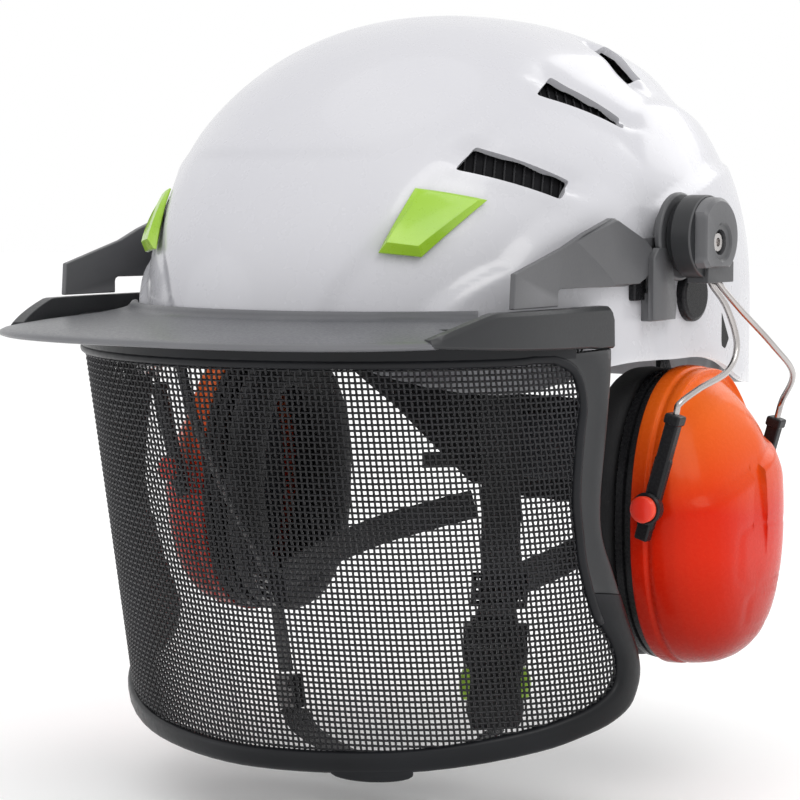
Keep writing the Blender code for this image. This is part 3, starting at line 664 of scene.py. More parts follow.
def vent_grilles():
    """Dark ribs across each vent, just under the shell."""
    for side, hand in SIDES:
        ribs = []
        for corners in VENTS.values():
            middle, along, across, _, flat = vent_frame(corners)
            reach = max(p[0] for p in flat)
            half = max(p[1] for p in flat) * VENT_STRETCH + 3
            for i in range(int(2 * reach / GRILLE_PITCH)):
                centre = middle + along * (-reach + GRILLE_PITCH * (i + 0.5))
                path = [on_dome(centre + across * (half * (k / 2 - 1)), GRILLE_DEPTH) for k in range(5)]
                ribs.append(rod(path, 0.5, 6))
        piece(f"vent_grille_{hand}", join(*ribs), "black", "helmet", side=side)


vent_grilles()


def liner():
    """Energy-absorbing liner with moulded channels inside."""

    def rim(angle):
        return 19 + 7 * np.cos(angle)

    lifts = np.linspace(0, 87, 34)
    outer = dome_grid(WALL + 4.2, rim, lifts, 144)
    inner = dome_grid(WALL + 19.5, rim, lifts, 144)
    x, y = inner[..., 0], inner[..., 1]
    channel = np.exp(-(((np.abs(x) - 24) / 5) ** 2)) + 0.8 * np.exp(-(((np.abs(x) - 60) / 5) ** 2))
    channel = np.maximum(channel, np.exp(-(((y - 10) / 6) ** 2)))
    inner = inner + grid_normals(inner) * (channel * 3.5)[..., None]
    rows = vector_rows(outer[::-1]) + vector_rows(inner)
    piece("liner", loft(rows), "liner", "helmet", "impact_liner", sharp=50)


liner()

# Lamp clips

CLIP_BASE = ((57.6, -109, 50), (76.4, -90.3, 45.5), (64.3, -115, 25.3), (52, -124, 26.8))
CLIP_TOP = ((59, -108, 49), (74, -93, 45), (62.8, -115.5, 28.6), (54.2, -122.4, 30))
CLIP_LAYERS = (
    (CLIP_BASE, (0.3, 0.3, 0.8, 0.8)),
    (CLIP_BASE, (0.9, 1.1, 2.0, 2.0)),
    (CLIP_TOP, (1.5, 1.9, 4.6, 4.6)),
)


def lamp_clip(side, hand):
    """Trapezoid clip: flush at its top edge and standing proud below, with wide chamfers."""
    rings = []
    for outline, lifts in CLIP_LAYERS:
        ring = []
        for i in range(4):
            j = (i + 1) % 4
            for k in range(6):
                t = k / 6
                point = on_dome(Vector(outline[i]).lerp(Vector(outline[j]), t))
                ring.append(point + dome_normal(point) * (lifts[i] * (1 - t) + lifts[j] * t))
        rings.append(ring)
    piece(f"clip_{hand}", loft(rings), "lime", f"lamp_clip_{hand[0]}", f"lamp_clip_{hand}", side, bevel=0.9)


for side, hand in SIDES:
    lamp_clip(side, hand)


def rear_clip():
    low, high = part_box("rear_lamp_clip")
    low, high = low / MM, high / MM
    middle = (low + high) / 2
    size = high - low
    plate = box((size.x, size.y - 0.6, size.z), (middle.x, middle.y - 0.3, middle.z))
    raised = box((size.x - 8, 0.8, size.z - 8), (middle.x, high.y - 0.4, middle.z))
    piece("clip_rear", join(plate, raised), "lime", "helmet", "rear_lamp_clip", bevel=0.5)


rear_clip()

# Visor surface

VISOR_TOP, VISOR_START, VISOR_LOW = -8.7, -9.0, -160.0
# Half width, front, sides and roundness at the visor's top, and what each gains by its foot.
VISOR_SHAPE = ((110.5, 4.0), (171.0, -31.5), (62.0, -17.0), (1.95, -0.2))
VISOR_BACKWARD = 100
PIVOT = Vector((0, -12, 32))
OUTER_EDGE = (
    (1.03, -8.7), (1.015, -15), (0.99, -27), (0.965, -40), (0.922, -63), (0.914, -78), (0.945, -92),
    (0.995, -110), (1.055, -124), (1.06, -134), (0.99, -143), (0.895, -148.8), (0.785, -153), (0.67, -157),
    (0.43, -162.8), (0.22, -164.7), (0, -165.2),
)
INNER_EDGE = (
    (0.79, -9.6), (0.868, -15.4), (0.889, -27), (0.867, -41), (0.839, -62), (0.837, -77), (0.841, -90),
    (0.868, -107), (0.915, -119), (0.932, -127), (0.91, -135), (0.835, -141), (0.735, -145.3), (0.63, -148.8),
    (0.42, -154.2), (0.22, -156.2), (0, -156.8),
)


def visor_point(across, z, out=0.0):
    """The visor's curved surface: across is -1 to 1 between its sides, and carries on straight back."""
    fall = (VISOR_START - z) / (VISOR_START - VISOR_LOW)
    half, front, side, bend = (start + gain * fall for start, gain in VISOR_SHAPE)
    front += out
    angle = min(max(across, -1), 1) * math.pi / 2
    x = (half + out) * power(math.sin(angle), 2 / bend)
    back = max(abs(across) - 1, 0) * VISOR_BACKWARD
    y = -side - (front - side) * math.cos(angle) ** (2 / bend) + back
    return Vector((x, y, z))


EDGE_SCALE = 165
EDGE_STEPS = 4


def matched_edges():
    """The outer and inner outlines, sampled alike from the left top round to the right top."""
    sides = []
    for knots in (OUTER_EDGE, INNER_EDGE):
        points = [Vector((a * EDGE_SCALE, z, 0)) for a, z in knots]
        points += [Vector((-p.x, p.y, 0)) for p in points[-2::-1]]
        sides.append([(p.x / EDGE_SCALE, p.y) for p in spline(points, lambda b, c: EDGE_STEPS)])
    return sides


OUTLINE, OPENING = matched_edges()
BAND_END = -100.0
TAB_PLACE, TAB_HALF, TAB_Z, TAB_DEPTH = 0.32, 0.085, -164.2, 3.2


def frame_run(first, last, section):
    """Lofts a strip of the frame; section gives (share across, height over the surface) pairs."""
    rings = []
    for (a_out, z_out), (a_in, z_in) in list(zip(OUTLINE, OPENING))[first:last]:
        rings.append(
            [visor_point(a_out + (a_in - a_out) * t, z_out + (z_in - z_out) * t, out) for t, out in section]
        )
    return loft(rings)


def rounded_section(half, count=20, flat=3.0):
    """A rounded bar: shares across run 0 to 1 and the thickness goes to plus and minus half."""
    return [(0.5 - 0.5 * cosine, half * sine) for cosine, sine in oval(count, 2 / flat)]


def visor_frame():
    total = len(OUTLINE)
    split = next(i for i in range(total) if OUTLINE[i][1] < BAND_END)
    band_section = [
        (0.0, -1.5), (0.0, 0.9), (0.06, 1.7), (0.2, 2.1), (0.45, 1.6), (0.7, 1.5), (0.93, 1.6), (0.93, -1.6),
    ]
    for side, hand in SIDES:
        band = frame_run(0, split + 1, band_section)
        piece(f"side_band_{hand}", band, "grey", "visor", f"visor_side_band_{hand}", side, bevel=0.4)
    trim = frame_run(split, total - split, rounded_section(2.9))
    piece("bottom_trim", trim, "rubber", "visor", "visor_bottom_trim", sharp=60)
    half = [(a + 0.004, z) for a, z in OPENING[1 : split + 4]][::-1]
    half += [(0.76, -10.6), (0.74, -11.0)] + [(0.7 - 0.05 * i, -11.2) for i in range(14)]
    edge = half + [(0, -11.2)] + [(-a, z) for a, z in half[::-1]]
    lip = rod([visor_point(a, z, 0.5) for a, z in edge], 1.9, 14)
    piece("opening_lip", lip, "rubber", "visor")
    rings = []
    for i in range(17):
        share = i / 8 - 1
        across = TAB_PLACE + TAB_HALF * share
        low = TAB_Z - TAB_DEPTH * math.sqrt(max(1 - share**2, 0.02))
        corners = ((TAB_Z + 3, -2.4), (low, -2.0), (low, 2.0), (TAB_Z + 3, 2.4))
        rings.append([visor_point(across, z, out) for z, out in corners])
    piece("trim_tab", loft(rings), "rubber", "visor", bevel=0.8)


visor_frame()


def inside_opening(fixed, vertical):
    """Stretches of a straight strand that lie inside the opening, by where it crosses the outline."""
    edge = [((a0 + a1) / 2, (z0 + z1) / 2) for (a0, z0), (a1, z1) in zip(OUTLINE, OPENING)]
    edge = [(edge[0][0], VISOR_TOP + 2)] + edge + [(edge[-1][0], VISOR_TOP + 2)]
    crossings = []
    for (a0, z0), (a1, z1) in zip(edge, edge[1:] + edge[:1]):
        p0, p1, q0, q1 = (a0, a1, z0, z1) if vertical else (z0, z1, a0, a1)
        if (p0 < fixed) != (p1 < fixed):
            t = (fixed - p0) / (p1 - p0)
            crossings.append(q0 + (q1 - q0) * t)
    crossings.sort()
    return list(zip(crossings[::2], crossings[1::2]))


PITCH, STRAND, WEAVE = 2.15, 0.47, 0.34
MESH_MIDDLE, MESH_DEPTH, MESH_REACH = -80, 156, 1.08
SAMPLES = 400
HEXAGON = arc(0, 300, 6)


def arc_places():
    """Places across the visor that are one pitch apart along its middle height."""
    lengths, places = [0.0], [0.0]
    last = visor_point(0, MESH_MIDDLE)
    for i in range(1, SAMPLES + 1):
        across = i / SAMPLES * MESH_REACH
        here = visor_point(across, MESH_MIDDLE)
        lengths.append(lengths[-1] + (here - last).length)
        places.append(across)
        last = here
    count = int(lengths[-1] / PITCH)
    half = [float(np.interp((i + 0.5) * PITCH, lengths, places)) for i in range(count)]
    return [-a for a in half[::-1]] + half


def mesh_strands(lines, others, vertical):
    """One set of strands; each passes over and under the strands of the other set in turn."""
    bm = bmesh.new()
    for number, fixed in enumerate(lines):
        for low, high in inside_opening(fixed, vertical):
            stops = [(place, i) for i, place in enumerate(others) if low < place < high]
            if len(stops) < 2:
                continue
            points = []
            for place, index in [(low, stops[0][1] - 1), *stops, (high, stops[-1][1] + 1)]:
                over = 1 if (number + index + vertical) % 2 else -1
                across, z = (fixed, place) if vertical else (place, fixed)
                points.append(visor_point(across, z, WEAVE * over))
            rings = []
            for i, point in enumerate(points):
                along = tangent(points, i)
                out = Vector((point.x, point.y + 20, 0)).normalized()
                other = along.cross(out).normalized()
                out = other.cross(along)
                rings.append([point + (out * math.cos(a) + other * math.sin(a)) * STRAND for a in HEXAGON])
            loft(rings, bm=bm)
    return bm


def visor_mesh():
    across = arc_places()
    heights = [VISOR_TOP - 0.6 - PITCH * i for i in range(int(MESH_DEPTH / PITCH))][::-1]
    piece("mesh_warp", mesh_strands(across, heights, True), "mesh", "visor", "visor_mesh")
    piece("mesh_weft", mesh_strands(heights, across, False), "mesh", "visor")


visor_mesh()


RAIL_REACH = 0.88
RAIL_SECTION = (
    (-11.6, -1.4), (-11.9, 0), (-11.6, 1.4), (-9.0, 2.0), (1.0, 2.0), (1.0, -2.0), (-9.0, -2.0),
)


def top_rail():
    places = [RAIL_REACH * (i / 48 - 1) for i in range(97)]
    rings = [[visor_point(across, z, out) for z, out in RAIL_SECTION] for across in places]
    piece("top_rail", loft(rings), "rubber", "visor", "visor_top_rail", bevel=0.5)


top_rail()

# Peak, blocks and arms

PEAK_HALF, PEAK_FRONT, PEAK_CENTRE, PEAK_POWER = 112, 204, -75, 2.8


def peak_edge(angle, outset=0.0):
    x = (PEAK_HALF + outset) * power(math.sin(angle), 2 / PEAK_POWER)
    reach = PEAK_FRONT + PEAK_CENTRE + outset
    return Vector((x, PEAK_CENTRE - reach * power(math.cos(angle), 2 / PEAK_POWER), 0))


def peak():
    """The brim: a low collar round the shell, then a plate that slopes down to a rolled edge."""
    rings = []
    for angle in arc(-70, 70, 141):
        tuck = 6.5 * float(ease((abs(math.degrees(angle)) - 57) / 5))
        edge = peak_edge(angle, -tuck)
        inner = Vector(dome_at(np.float64(angle * 0.66), np.float64(0.0), -1.9))
        inner.z = 0
        run = edge - inner
        reach = run.length
        way = run / reach
        section = [
            (0.0, 0.2), (0.0, 5.0), (0.5, 5.9), (1.4, 6.3), (2.4, 6.0), (3.4, 4.8), (4.6, 3.7), (7, 3.0),
            (reach * 0.4, 1.6), (reach * 0.7, 0.0), (reach - 5, -1.5), (reach - 1.8, -2.1),
            (reach - 0.5, -2.7), (reach, -3.4), (reach - 0.4, -4.1), (reach - 1.6, -4.5),
            (reach - 5, -4.2), (reach * 0.6, -2.4), (6, -0.2),
        ]
        rings.append([inner + way * s + Vector((0, 0, z)) for s, z in section])
    piece("brim", loft(rings), "peak", "visor", "peak", sharp=60)


peak()


BLOCK_TURN, BLOCK_STRAIGHT, BLOCK_START, BLOCK_INSET = 41.0, 18.0, 57, -1.0
BLOCK_STEPS, BLOCK_TOP, BLOCK_ROUND, ROUND_START = 40, 7.2, 4, 0.93


def block_path(share):
    """Down the side of the brim: share 0 at its front seam and 1 at its rear end."""
    along = share * (BLOCK_TURN + BLOCK_STRAIGHT)
    if along < BLOCK_TURN:
        turned_by = BLOCK_START + (90 - BLOCK_START) * along / BLOCK_TURN
        return peak_edge(math.radians(turned_by), BLOCK_INSET)
    return peak_edge(math.radians(90), BLOCK_INSET) + Vector((0, along - BLOCK_TURN, 0))


def side_block(side, hand):
    rings = []
    for i in range(BLOCK_STEPS + 1):
        share = i / BLOCK_STEPS
        here = block_path(share)
        ahead = block_path(min(share + 0.02, 1)) - block_path(max(share - 0.02, 0))
        inward = Vector((-ahead.y, ahead.x, 0)).normalized()
        if inward.x > 0:
            inward = -inward
        low = max(-4 - 5.6 * share, VISOR_TOP)
        high = min(low + 3 + share * 32, BLOCK_TOP)
        if share > ROUND_START:
            gone = (share - ROUND_START) / 0.07 * BLOCK_ROUND
            high -= BLOCK_ROUND - math.sqrt(max(BLOCK_ROUND**2 - gone**2, 0))
        section = (
            (1.3, low), (-0.2, low), (-1.0, low + 0.8), (-0.8, high - 1.6), (0.4, high), (4.6, high),
            (5, low + 2), (5, low),
        )
        rings.append([here + inward * depth + Vector((0, 0, z)) for depth, z in section])
    piece(f"block_{hand}", loft(rings), "grey", "visor", f"visor_block_{hand}", side, bevel=0.35)


for side, hand in SIDES:
    side_block(side, hand)


ARM_PLACES, ARM_INSIDES = (-120, -90, -60, -45, -26, 10), (105, 105, 106.5, 107.5, 108.8, 108.8)
EYE_RADIUS = 12


def arm_x(y):
    """The inner face of the arm, which bends outwards round the shell."""
    return float(np.interp(y, ARM_PLACES, ARM_INSIDES))


def visor_arm(side, hand):
    """The lever: a flat plate with a raised diagonal facet and a round eye on the hub pin."""
    turns = arc(-90, 230, 28)
    eye = [(PIVOT.y + EYE_RADIUS * math.sin(a), PIVOT.z + EYE_RADIUS * math.cos(a)) for a in turns]
    front = [(-120, 7.9), (-119, 20.5), (-86, 29.3), (-74, 33.8), (-55.5, 39.4), (-53, 39.4), (-34, 31.5)]
    lobe = [(-30.6, 28), (-29.6, 24), (-30.8, 20.2), (-34, 16.8), (-39, 14.6), (-46, 13.8)]
    under = lobe[2:] + [(-88, 14.3), (-89.6, 13.6), (-90, 12.4), (-90, 7.9)]
    outline = front + eye + under
    near = [Vector((arm_x(y), y, z)) for y, z in outline]
    far = [Vector((arm_x(y) + 2.4, y, z)) for y, z in outline]
    plate = loft([near, far])
    base = [(-82, 30.2), (-55.5, 39.2), (-53, 39.2), (-34, 31.2), *lobe[:5], (-55, 14.2)]
    crest = [(-70, 34.4), (-55.2, 38.6), (-53.3, 38.5), (-34.6, 30.8), *lobe[:5], (-47.5, 14.6)]
    raised = [
        [Vector((arm_x(y) + 1.8, y, z)) for y, z in base],
        [Vector((arm_x(y) + 4.2, y, z)) for y, z in crest],
    ]
    piece(f"arm_{hand}", join(plate, loft(raised)), "arm", "visor", f"visor_arm_{hand}", side, bevel=0.5)


for side, hand in SIDES:
    visor_arm(side, hand)

# Hubs

HUB_RADIUS = 16
HUB_INNER, HUB_OUTER = 115.5, 132
FOLD_AXIS = Vector((124, -5, 19))


LEG_OUTLINE = ((-33.5, 0.5), (-16, 0.5), (-15, 8), (-19, 22), (-24, 28), (-30, 28), (-33.5, 24))
TAB_OUTLINE = ((24, 7), (30, 7), (40, -10), (37, -14), (33, -13))


def slot_adapter(side, hand):
    """The disc, leg and lug that hold a muff in the shell's slot, with the black shoe behind."""
    disc_profile = [
        (105.4, 4), (112.2, 4), (112.2, 16.4), (112.8, 17), (114.4, 17), (115.1, 16.2), (115.1, 0.5),
    ]
    disc = turned(disc_profile, PIVOT)
    leg = loft(
        [
            [Vector((x, y + shrink * (1 if y < -25 else -1), z)) for y, z in LEG_OUTLINE]
            for x, shrink in ((112.4, 0), (114.9, 0), (115.3, 0.8))
        ]
    )
    lug = box((5, 12, 11), (109.8, -24, 5.5))
    piece(f"adapter_{hand}", join(disc, leg, lug), "arm", "helmet", f"slot_adapter_{hand}", side, bevel=0.5)
    shoe = turned([(107, 9), (107.6, 10.4), (113.6, 10.4), (114.6, 9.2)], (0, 2, 9))
    wedge = box((3, 9, 12), (107.6, -33, 14))
    tab = loft([[Vector((x, y, z)) for y, z in TAB_OUTLINE] for x in (105.2, 109.4)])
    piece(f"adapter_shoe_{hand}", join(shoe, wedge, tab), "black", "helmet", (), side, bevel=1.0)


def hub(side, hand):
    """The drum that swings on the adapter, its flat-sided cap and its screw."""
    body = f"muff_swivel_{hand[0]}"
    drum_profile = [
        (HUB_INNER, 8), (HUB_INNER, 13.4), (HUB_INNER + 2.4, 14), (HUB_INNER + 2.6, 15.2),
        (HUB_INNER + 3.4, HUB_RADIUS), (HUB_OUTER - 5.6, HUB_RADIUS), (HUB_OUTER - 5, 15.6),
        (HUB_OUTER - 4.8, 2.0),
    ]
    drum = turned(drum_profile, PIVOT)
    holder = box((9, 21, 8), (FOLD_AXIS.x, FOLD_AXIS.y, 18.4))
    piece(f"hub_drum_{hand}", join(drum, holder), "grey", body, f"muff_hub_{hand}", side, bevel=0.6)
    rings = []
    for back, radius, cut in ((4.9, 15.2, 11.8), (1.2, 15.0, 11.6), (0, 13.6, 11.0)):
        ring = circle(Vector((HUB_OUTER - back, PIVOT.y, PIVOT.z)), radius, "X", 64)
        for point in ring:
            point.z = max(point.z, PIVOT.z - cut)
            point.y = max(point.y, PIVOT.y - cut)
        rings.append(ring)
    hole = Vector((0, PIVOT.y + 1.5, PIVOT.z - 2))
    for back, radius in ((0, 7.6), (0.9, 6.6), (1.2, 4.9), (4.6, 4.9)):
        rings.append(circle(Vector((HUB_OUTER - back, hole.y, hole.z)), radius, "X", 64))
    piece(f"hub_cap_{hand}", loft(rings), "arm", body, (), side, sharp=28)
    seat = HUB_OUTER - 4.4
    head = [(seat, 4.2), (seat + 1.6, 4.2), (seat + 2.3, 3.4), (seat + 2.3, 1.7), (seat + 1.0, 1.5)]
    screw = turned(head, hole, count=40)
    piece(f"screw_{hand}", screw, "steel", body, f"hub_screw_{hand}", side, sharp=30)


for side, hand in SIDES:
    slot_adapter(side, hand)
    hub(side, hand)

# Wires, rods and cups

TILT_AXIS = Vector((117, 7, -70))
ROD_SPACING = 45
ROD_ABOVE, ROD_BELOW = {"front": 37.5, "rear": 29}, 13
SLIDE = Vector((-14, 0, -48)).normalized()
WIRE_RADIUS = 1.25
CUP_CENTRE = Vector((0, 7, -78))
CUP_LONG, CUP_TALL, CUP_BACK, CUP_POWER = 41, 59, 106, 2.3


def wire(side, hand):
    rod_front = TILT_AXIS + Vector((0, -ROD_SPACING, 0)) - SLIDE * ROD_ABOVE["front"]
    rod_rear = TILT_AXIS + Vector((0, ROD_SPACING, 0)) - SLIDE * ROD_ABOVE["rear"]
    route = [
        rod_front + SLIDE * 27, rod_front, rod_front - SLIDE * 4,
        (131.5, -28, -25), (134, -9, -19), (134, -2, -9), (131, -5, 5), (126, -8, 14), (124, -7.5, 19),
        (124, -2.5, 19), (126, -2, 14), (131, 6, 4), (136, 25, -11), (137.5, 40, -23),
        rod_rear - SLIDE * 7, rod_rear, rod_rear + SLIDE * 27,
    ]
    bent = rod(smooth_route(route, 1.6), WIRE_RADIUS, 14)
    piece(f"wire_{hand}", bent, "steel", f"muff_fork_{hand[0]}", f"wire_fork_{hand}", side, sharp=60)


def rods(side, hand):
    """The two rods that slide on the wire's ends, each with its pivot button in a black ring."""
    across = Vector((SLIDE.z, 0, -SLIDE.x))
    axes = (across, Vector((0, 1, 0)), SLIDE)
    body = f"muff_rods_{hand[0]}"
    for place, inward in (("front", 1), ("rear", -1)):
        middle = TILT_AXIS + Vector((0, -inward * ROD_SPACING, 0))
        top = middle - SLIDE * ROD_ABOVE[place]
        bottom = middle + SLIDE * ROD_BELOW
        length = (bottom - top).length
        bar = box((5.6, 4.4, length - 3), (top + SLIDE * 3 + bottom) / 2, axes)
        ferrule = box((6.6, 6.2, 4), top + SLIDE * 2, axes)
        rib = box((6.8, 3.2, length - 22), middle - SLIDE * 6, axes)
        whole = join(bar, ferrule, rib)
        piece(f"rod_{place}_{hand}", whole, "black", body, f"cup_rod_{place}_{hand}", side, bevel=0.9)
        edge = middle.y - inward * 2
        ring_profile = ((2, 5.6), (-1.8, 6.2), (-2.6, 5.6), (-2.6, 3))
        ring = turned([(edge + inward * reach, radius) for reach, radius in ring_profile], middle, "Y", 40)
        piece(f"button_ring_{place}_{hand}", ring, "black", body, (), side, sharp=35)
        dome = [(edge - inward * 2.2, 4.9), (edge - inward * 4.9, 5.1)]
        dome += [(edge - inward * (4.9 + 1.5 * math.sin(a)), 5.1 * math.cos(a)) for a in arc(15, 85, 7)]
        button = turned(dome, middle, "Y", 40)
        piece(f"button_{place}_{hand}", button, "red", body, f"pivot_button_{place}_{hand}", side, sharp=40)


def cup_ring(depth, drop, count=96):
    """One outline of the cup, this far outwards of its back plane and this far in from its edge."""
    long, tall = CUP_LONG - drop, CUP_TALL - drop
    return [
        Vector((CUP_BACK + depth, CUP_CENTRE.y + long * cosine, CUP_CENTRE.z + tall * sine))
        for cosine, sine in oval(count, 2 / CUP_POWER)
    ]


CUP_COUNT, CUP_ROWS = 176, 52
CUP_OUTSIDE = (
    (0, 0.0), (0.8, -0.1), (5.5, 0.2), (6.2, 1.0), (7.0, 1.3), (7.8, 1.0), (9, 0.7), (13, 1.2), (18, 2.2),
    (22, 4.0), (25.5, 6.6), (28.5, 9.8), (30.8, 13.5), (32.4, 18), (33.4, 23), (34.0, 29), (34.2, 35),
)
CUP_INSIDE = ((14.5, 12), (12, 7), (8, 4.2), (0, 2.6))
SCOOP_LINE, SCOOP_TILT, SCOOP_EDGE, SCOOP_DEPTH = 0.30, 0.22, 3.0, 8.5
NOTCH_DEPTH, SWELL, LINE_DEPTH = 3.5, 0.6, 0.3


def cup_face(u, v):
    """How far the face stands out at a place, each from -1 to 1 across and up the cup."""
    above = v - SCOOP_LINE - SCOOP_TILT * u
    sink = SCOOP_EDGE * float(ease(above / 0.07)) + SCOOP_DEPTH * float(ease((above - 0.04) / 0.5))
    notch = NOTCH_DEPTH * float(ease((u - 0.15) / 0.5)) * float(ease((v - 0.25) / 0.3))
    swell = SWELL * math.exp(-(((v + 0.1) / 0.45) ** 2)) * (1 - 0.6 * u * u)
    return swell - sink - notch - LINE_DEPTH * panel_line(u, v)


def cup_shell(side, hand):
    """Glossy cup: a raised skirt, then a domed face with a scoop across its upper third."""
    stations = np.linspace(0, len(CUP_OUTSIDE) - 1, CUP_ROWS)
    depths, drops = (np.interp(stations, range(len(CUP_OUTSIDE)), row) for row in zip(*CUP_OUTSIDE))
    rings = [cup_ring(depth, drop, CUP_COUNT) for depth, drop in zip(depths, drops)]
    for ring in rings:
        for point in ring:
            v = (point.z - CUP_CENTRE.z) / CUP_TALL
            u = (point.y - CUP_CENTRE.y) / CUP_LONG
            point.x += cup_face(u, v) * float(ease((point.x - CUP_BACK - 10) / 15))
    rings = [cup_ring(depth, drop, CUP_COUNT) for depth, drop in CUP_INSIDE] + rings
    # The cup's material carries painted light at its top and painted shade at its bottom.
    piece(f"cup_{hand}", loft(rings), "orange", f"muff_cup_{hand[0]}", f"cup_shell_{hand}", side, sharp=40)


def panel_line(u, v):
    """Shallow moulded lines on the cup: 1 in the middle of a line and 0 away from them."""
    frames = ((0.22, -0.22, 0.62, 0.20), (0.30, -0.60, 0.50, 0.12))
    depth = 0.0
    for middle_u, middle_v, half_u, half_v in frames:
        out_u, out_v = abs(u - middle_u) / half_u, abs(v - middle_v) / half_v
        gap = abs((out_u**5 + out_v**5) ** 0.2 - 1) * min(half_u * CUP_LONG, half_v * CUP_TALL)
        depth = max(depth, math.exp(-((gap / 0.9) ** 2)))
    return depth


PLATE_SECTION = (
    (-8.3, 2.4), (-7.6, 1.6), (-4.6, 1.2), (-4.1, 2.2), (-3.4, 2.2), (-2.9, 1.0), (-0.4, 0.6), (-0.3, 16),
    (-8.3, 16),
)
LINING_DROP, LINING_ROWS, LINING_COUNT, LINING_DEPTH = 18.5, 14, 72, 9.4


def cup_plate(side, hand):
    rings = [cup_ring(depth, drop) for depth, drop in PLATE_SECTION]
    plate = loft(rings, path_closed=True)
    body, stands_for = f"muff_cup_{hand[0]}", f"cup_back_plate_{hand}"
    piece(f"cup_plate_{hand}", plate, "black", body, stands_for, side, sharp=35)


def ear_cushion(side, hand):
    """The soft ring against the head: a squared-off tube round the cup."""
    rings = []
    for angle in arc(0, 337.5, 16):
        depth = 16.4 - 7.4 * power(math.cos(angle), 0.75)
        rings.append(cup_ring(-depth, 9.2 - 8.0 * power(math.sin(angle), 0.8)))
    tube = loft(rings, path_closed=True)
    pad = piece(f"ear_cushion_{hand}", tube, "leather", f"muff_cup_{hand[0]}", f"cup_cushion_{hand}", side)


def cup_lining(side, hand):
    """The foam inside the cup: a rippled disc that curls down at its edge."""
    bm = bmesh.new()
    centre = bm.verts.new(Vector((CUP_BACK + LINING_DEPTH, CUP_CENTRE.y, CUP_CENTRE.z)))
    long, tall = CUP_LONG - LINING_DROP, CUP_TALL - LINING_DROP
    rows = []
    for k in range(1, LINING_ROWS + 1):
        ring = []
        for cosine, sine in oval(LINING_COUNT, 2 / CUP_POWER):
            y = CUP_CENTRE.y + long * k / LINING_ROWS * cosine
            z = CUP_CENTRE.z + tall * k / LINING_ROWS * sine
            point = Vector((0, y, z))
            ripple = 0.5 * math.cos(point.y * 0.8) * math.cos(point.z * 0.8)
            point.x = CUP_BACK + LINING_DEPTH - 5.0 * (k / LINING_ROWS) ** 4 + ripple
            ring.append(bm.verts.new(point))
        rows.append(ring)
    rows.append([bm.verts.new(point) for point in cup_ring(14, LINING_DROP, LINING_COUNT)])
    for i in range(LINING_COUNT):
        bm.faces.new((centre, rows[0][i], rows[0][(i + 1) % LINING_COUNT]))
    for near, far in zip(rows, rows[1:]):
        bridge(bm, near, far)
    bm.faces.new(rows[-1][::-1])
    bmesh.ops.recalc_face_normals(bm, faces=bm.faces)
    pad = piece(f"cup_lining_{hand}", bm, "pad", f"muff_cup_{hand[0]}", f"cup_foam_{hand}", side)


for side, hand in SIDES:
    wire(side, hand)
    rods(side, hand)
    cup_shell(side, hand)
    cup_plate(side, hand)
    ear_cushion(side, hand)
    cup_lining(side, hand)

# Head ring and nape adjuster

HEAD_RADIUS, HEAD_FRONT, HEAD_CENTRE_Y, RING_WALL = 78, 118, 20, 1.6
KNOB_Z, KNOB_FLUTES, KNOB_COUNT = -66, 12, 120
RACK_HALF = 3.7


def head_point(angle, outset, z):
    reach = HEAD_FRONT if math.sin(angle) < 0 else HEAD_RADIUS
    y = HEAD_CENTRE_Y + (reach + outset) * math.sin(angle)
    return Vector(((HEAD_RADIUS + outset) * math.cos(angle), y, z))


def ring_strip(angles, inner, wall, low, high, rows=8):
    """A strip round the head with softly rounded edges."""
    rings = []
    for angle in angles:
        bottom, top = float(low(angle)), float(high(angle))
        ring = []
        for out_share, order in ((0.0, range(rows + 1)), (1.0, range(rows, -1, -1))):
            for k in order:
                t = k / rows
                squeeze = 0.5 - 0.5 * abs(2 * t - 1) ** 6
                out = inner + wall * (0.5 + (out_share - 0.5) * (0.35 + 1.3 * squeeze))
                ring.append(head_point(angle, out, bottom + (top - bottom) * t))
        rings.append(ring)
    return loft(rings)


def table(places, values):
    return lambda angle: np.interp(math.degrees(angle), places, values)


def mirror_table(places, values):
    return lambda angle: np.interp(abs(math.degrees(angle) - 90), places, values)


def head_ring():
    places = (-205, -190, -150, -90, -30, 10, 25)
    low = table(places, (-25, -14, -9, -6, -9, -14, -25))
    high = table(places, (-9, 8, 15, 20, 15, 8, -9))
    strip = ring_strip(arc(-205, 25, 140), 0, RING_WALL, low, high)
    piece("band", strip, "black", "helmet", "headband", sharp=40)
    first, last = -140, -40
    rings = []
    for angle in arc(first, last, 61):
        share = (angle - math.radians(first)) / math.radians(last - first)
        crown = 0.35 + 0.65 * math.sqrt(max(math.sin(share * math.pi), 0))
        quilt = 0.35 * math.cos(math.degrees(angle) * 0.9)
        ring = []
        for cosine, sine in oval(24, 0.8):
            out = -2.5 + (2.1 + (0 if cosine > 0 else quilt)) * crown * cosine
            ring.append(head_point(angle, out, 4 + 13 * sine))
        rings.append(ring)
    pad = piece("brow_cushion", loft(rings), "pad", "helmet", "brow_pad")


def crown_cushion():
    low, high = (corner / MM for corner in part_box("crown_pad"))
    middle, half = (low + high) / 2, (high - low) / 2
    rings = []
    for k in range(1, 12):
        lift = math.pi * k / 12
        across = math.sin(lift) ** 0.4
        z = middle.z + half.z * 0.98 * power(math.cos(lift), 0.6)
        rings.append(
            [
                Vector((middle.x + half.x * across * cosine, middle.y + half.y * across * sine, z))
                for cosine, sine in oval(64, 0.8)
            ]
        )
    pad = piece("crown_cushion", loft(rings), "pad", "helmet", "crown_pad", sharp=60)


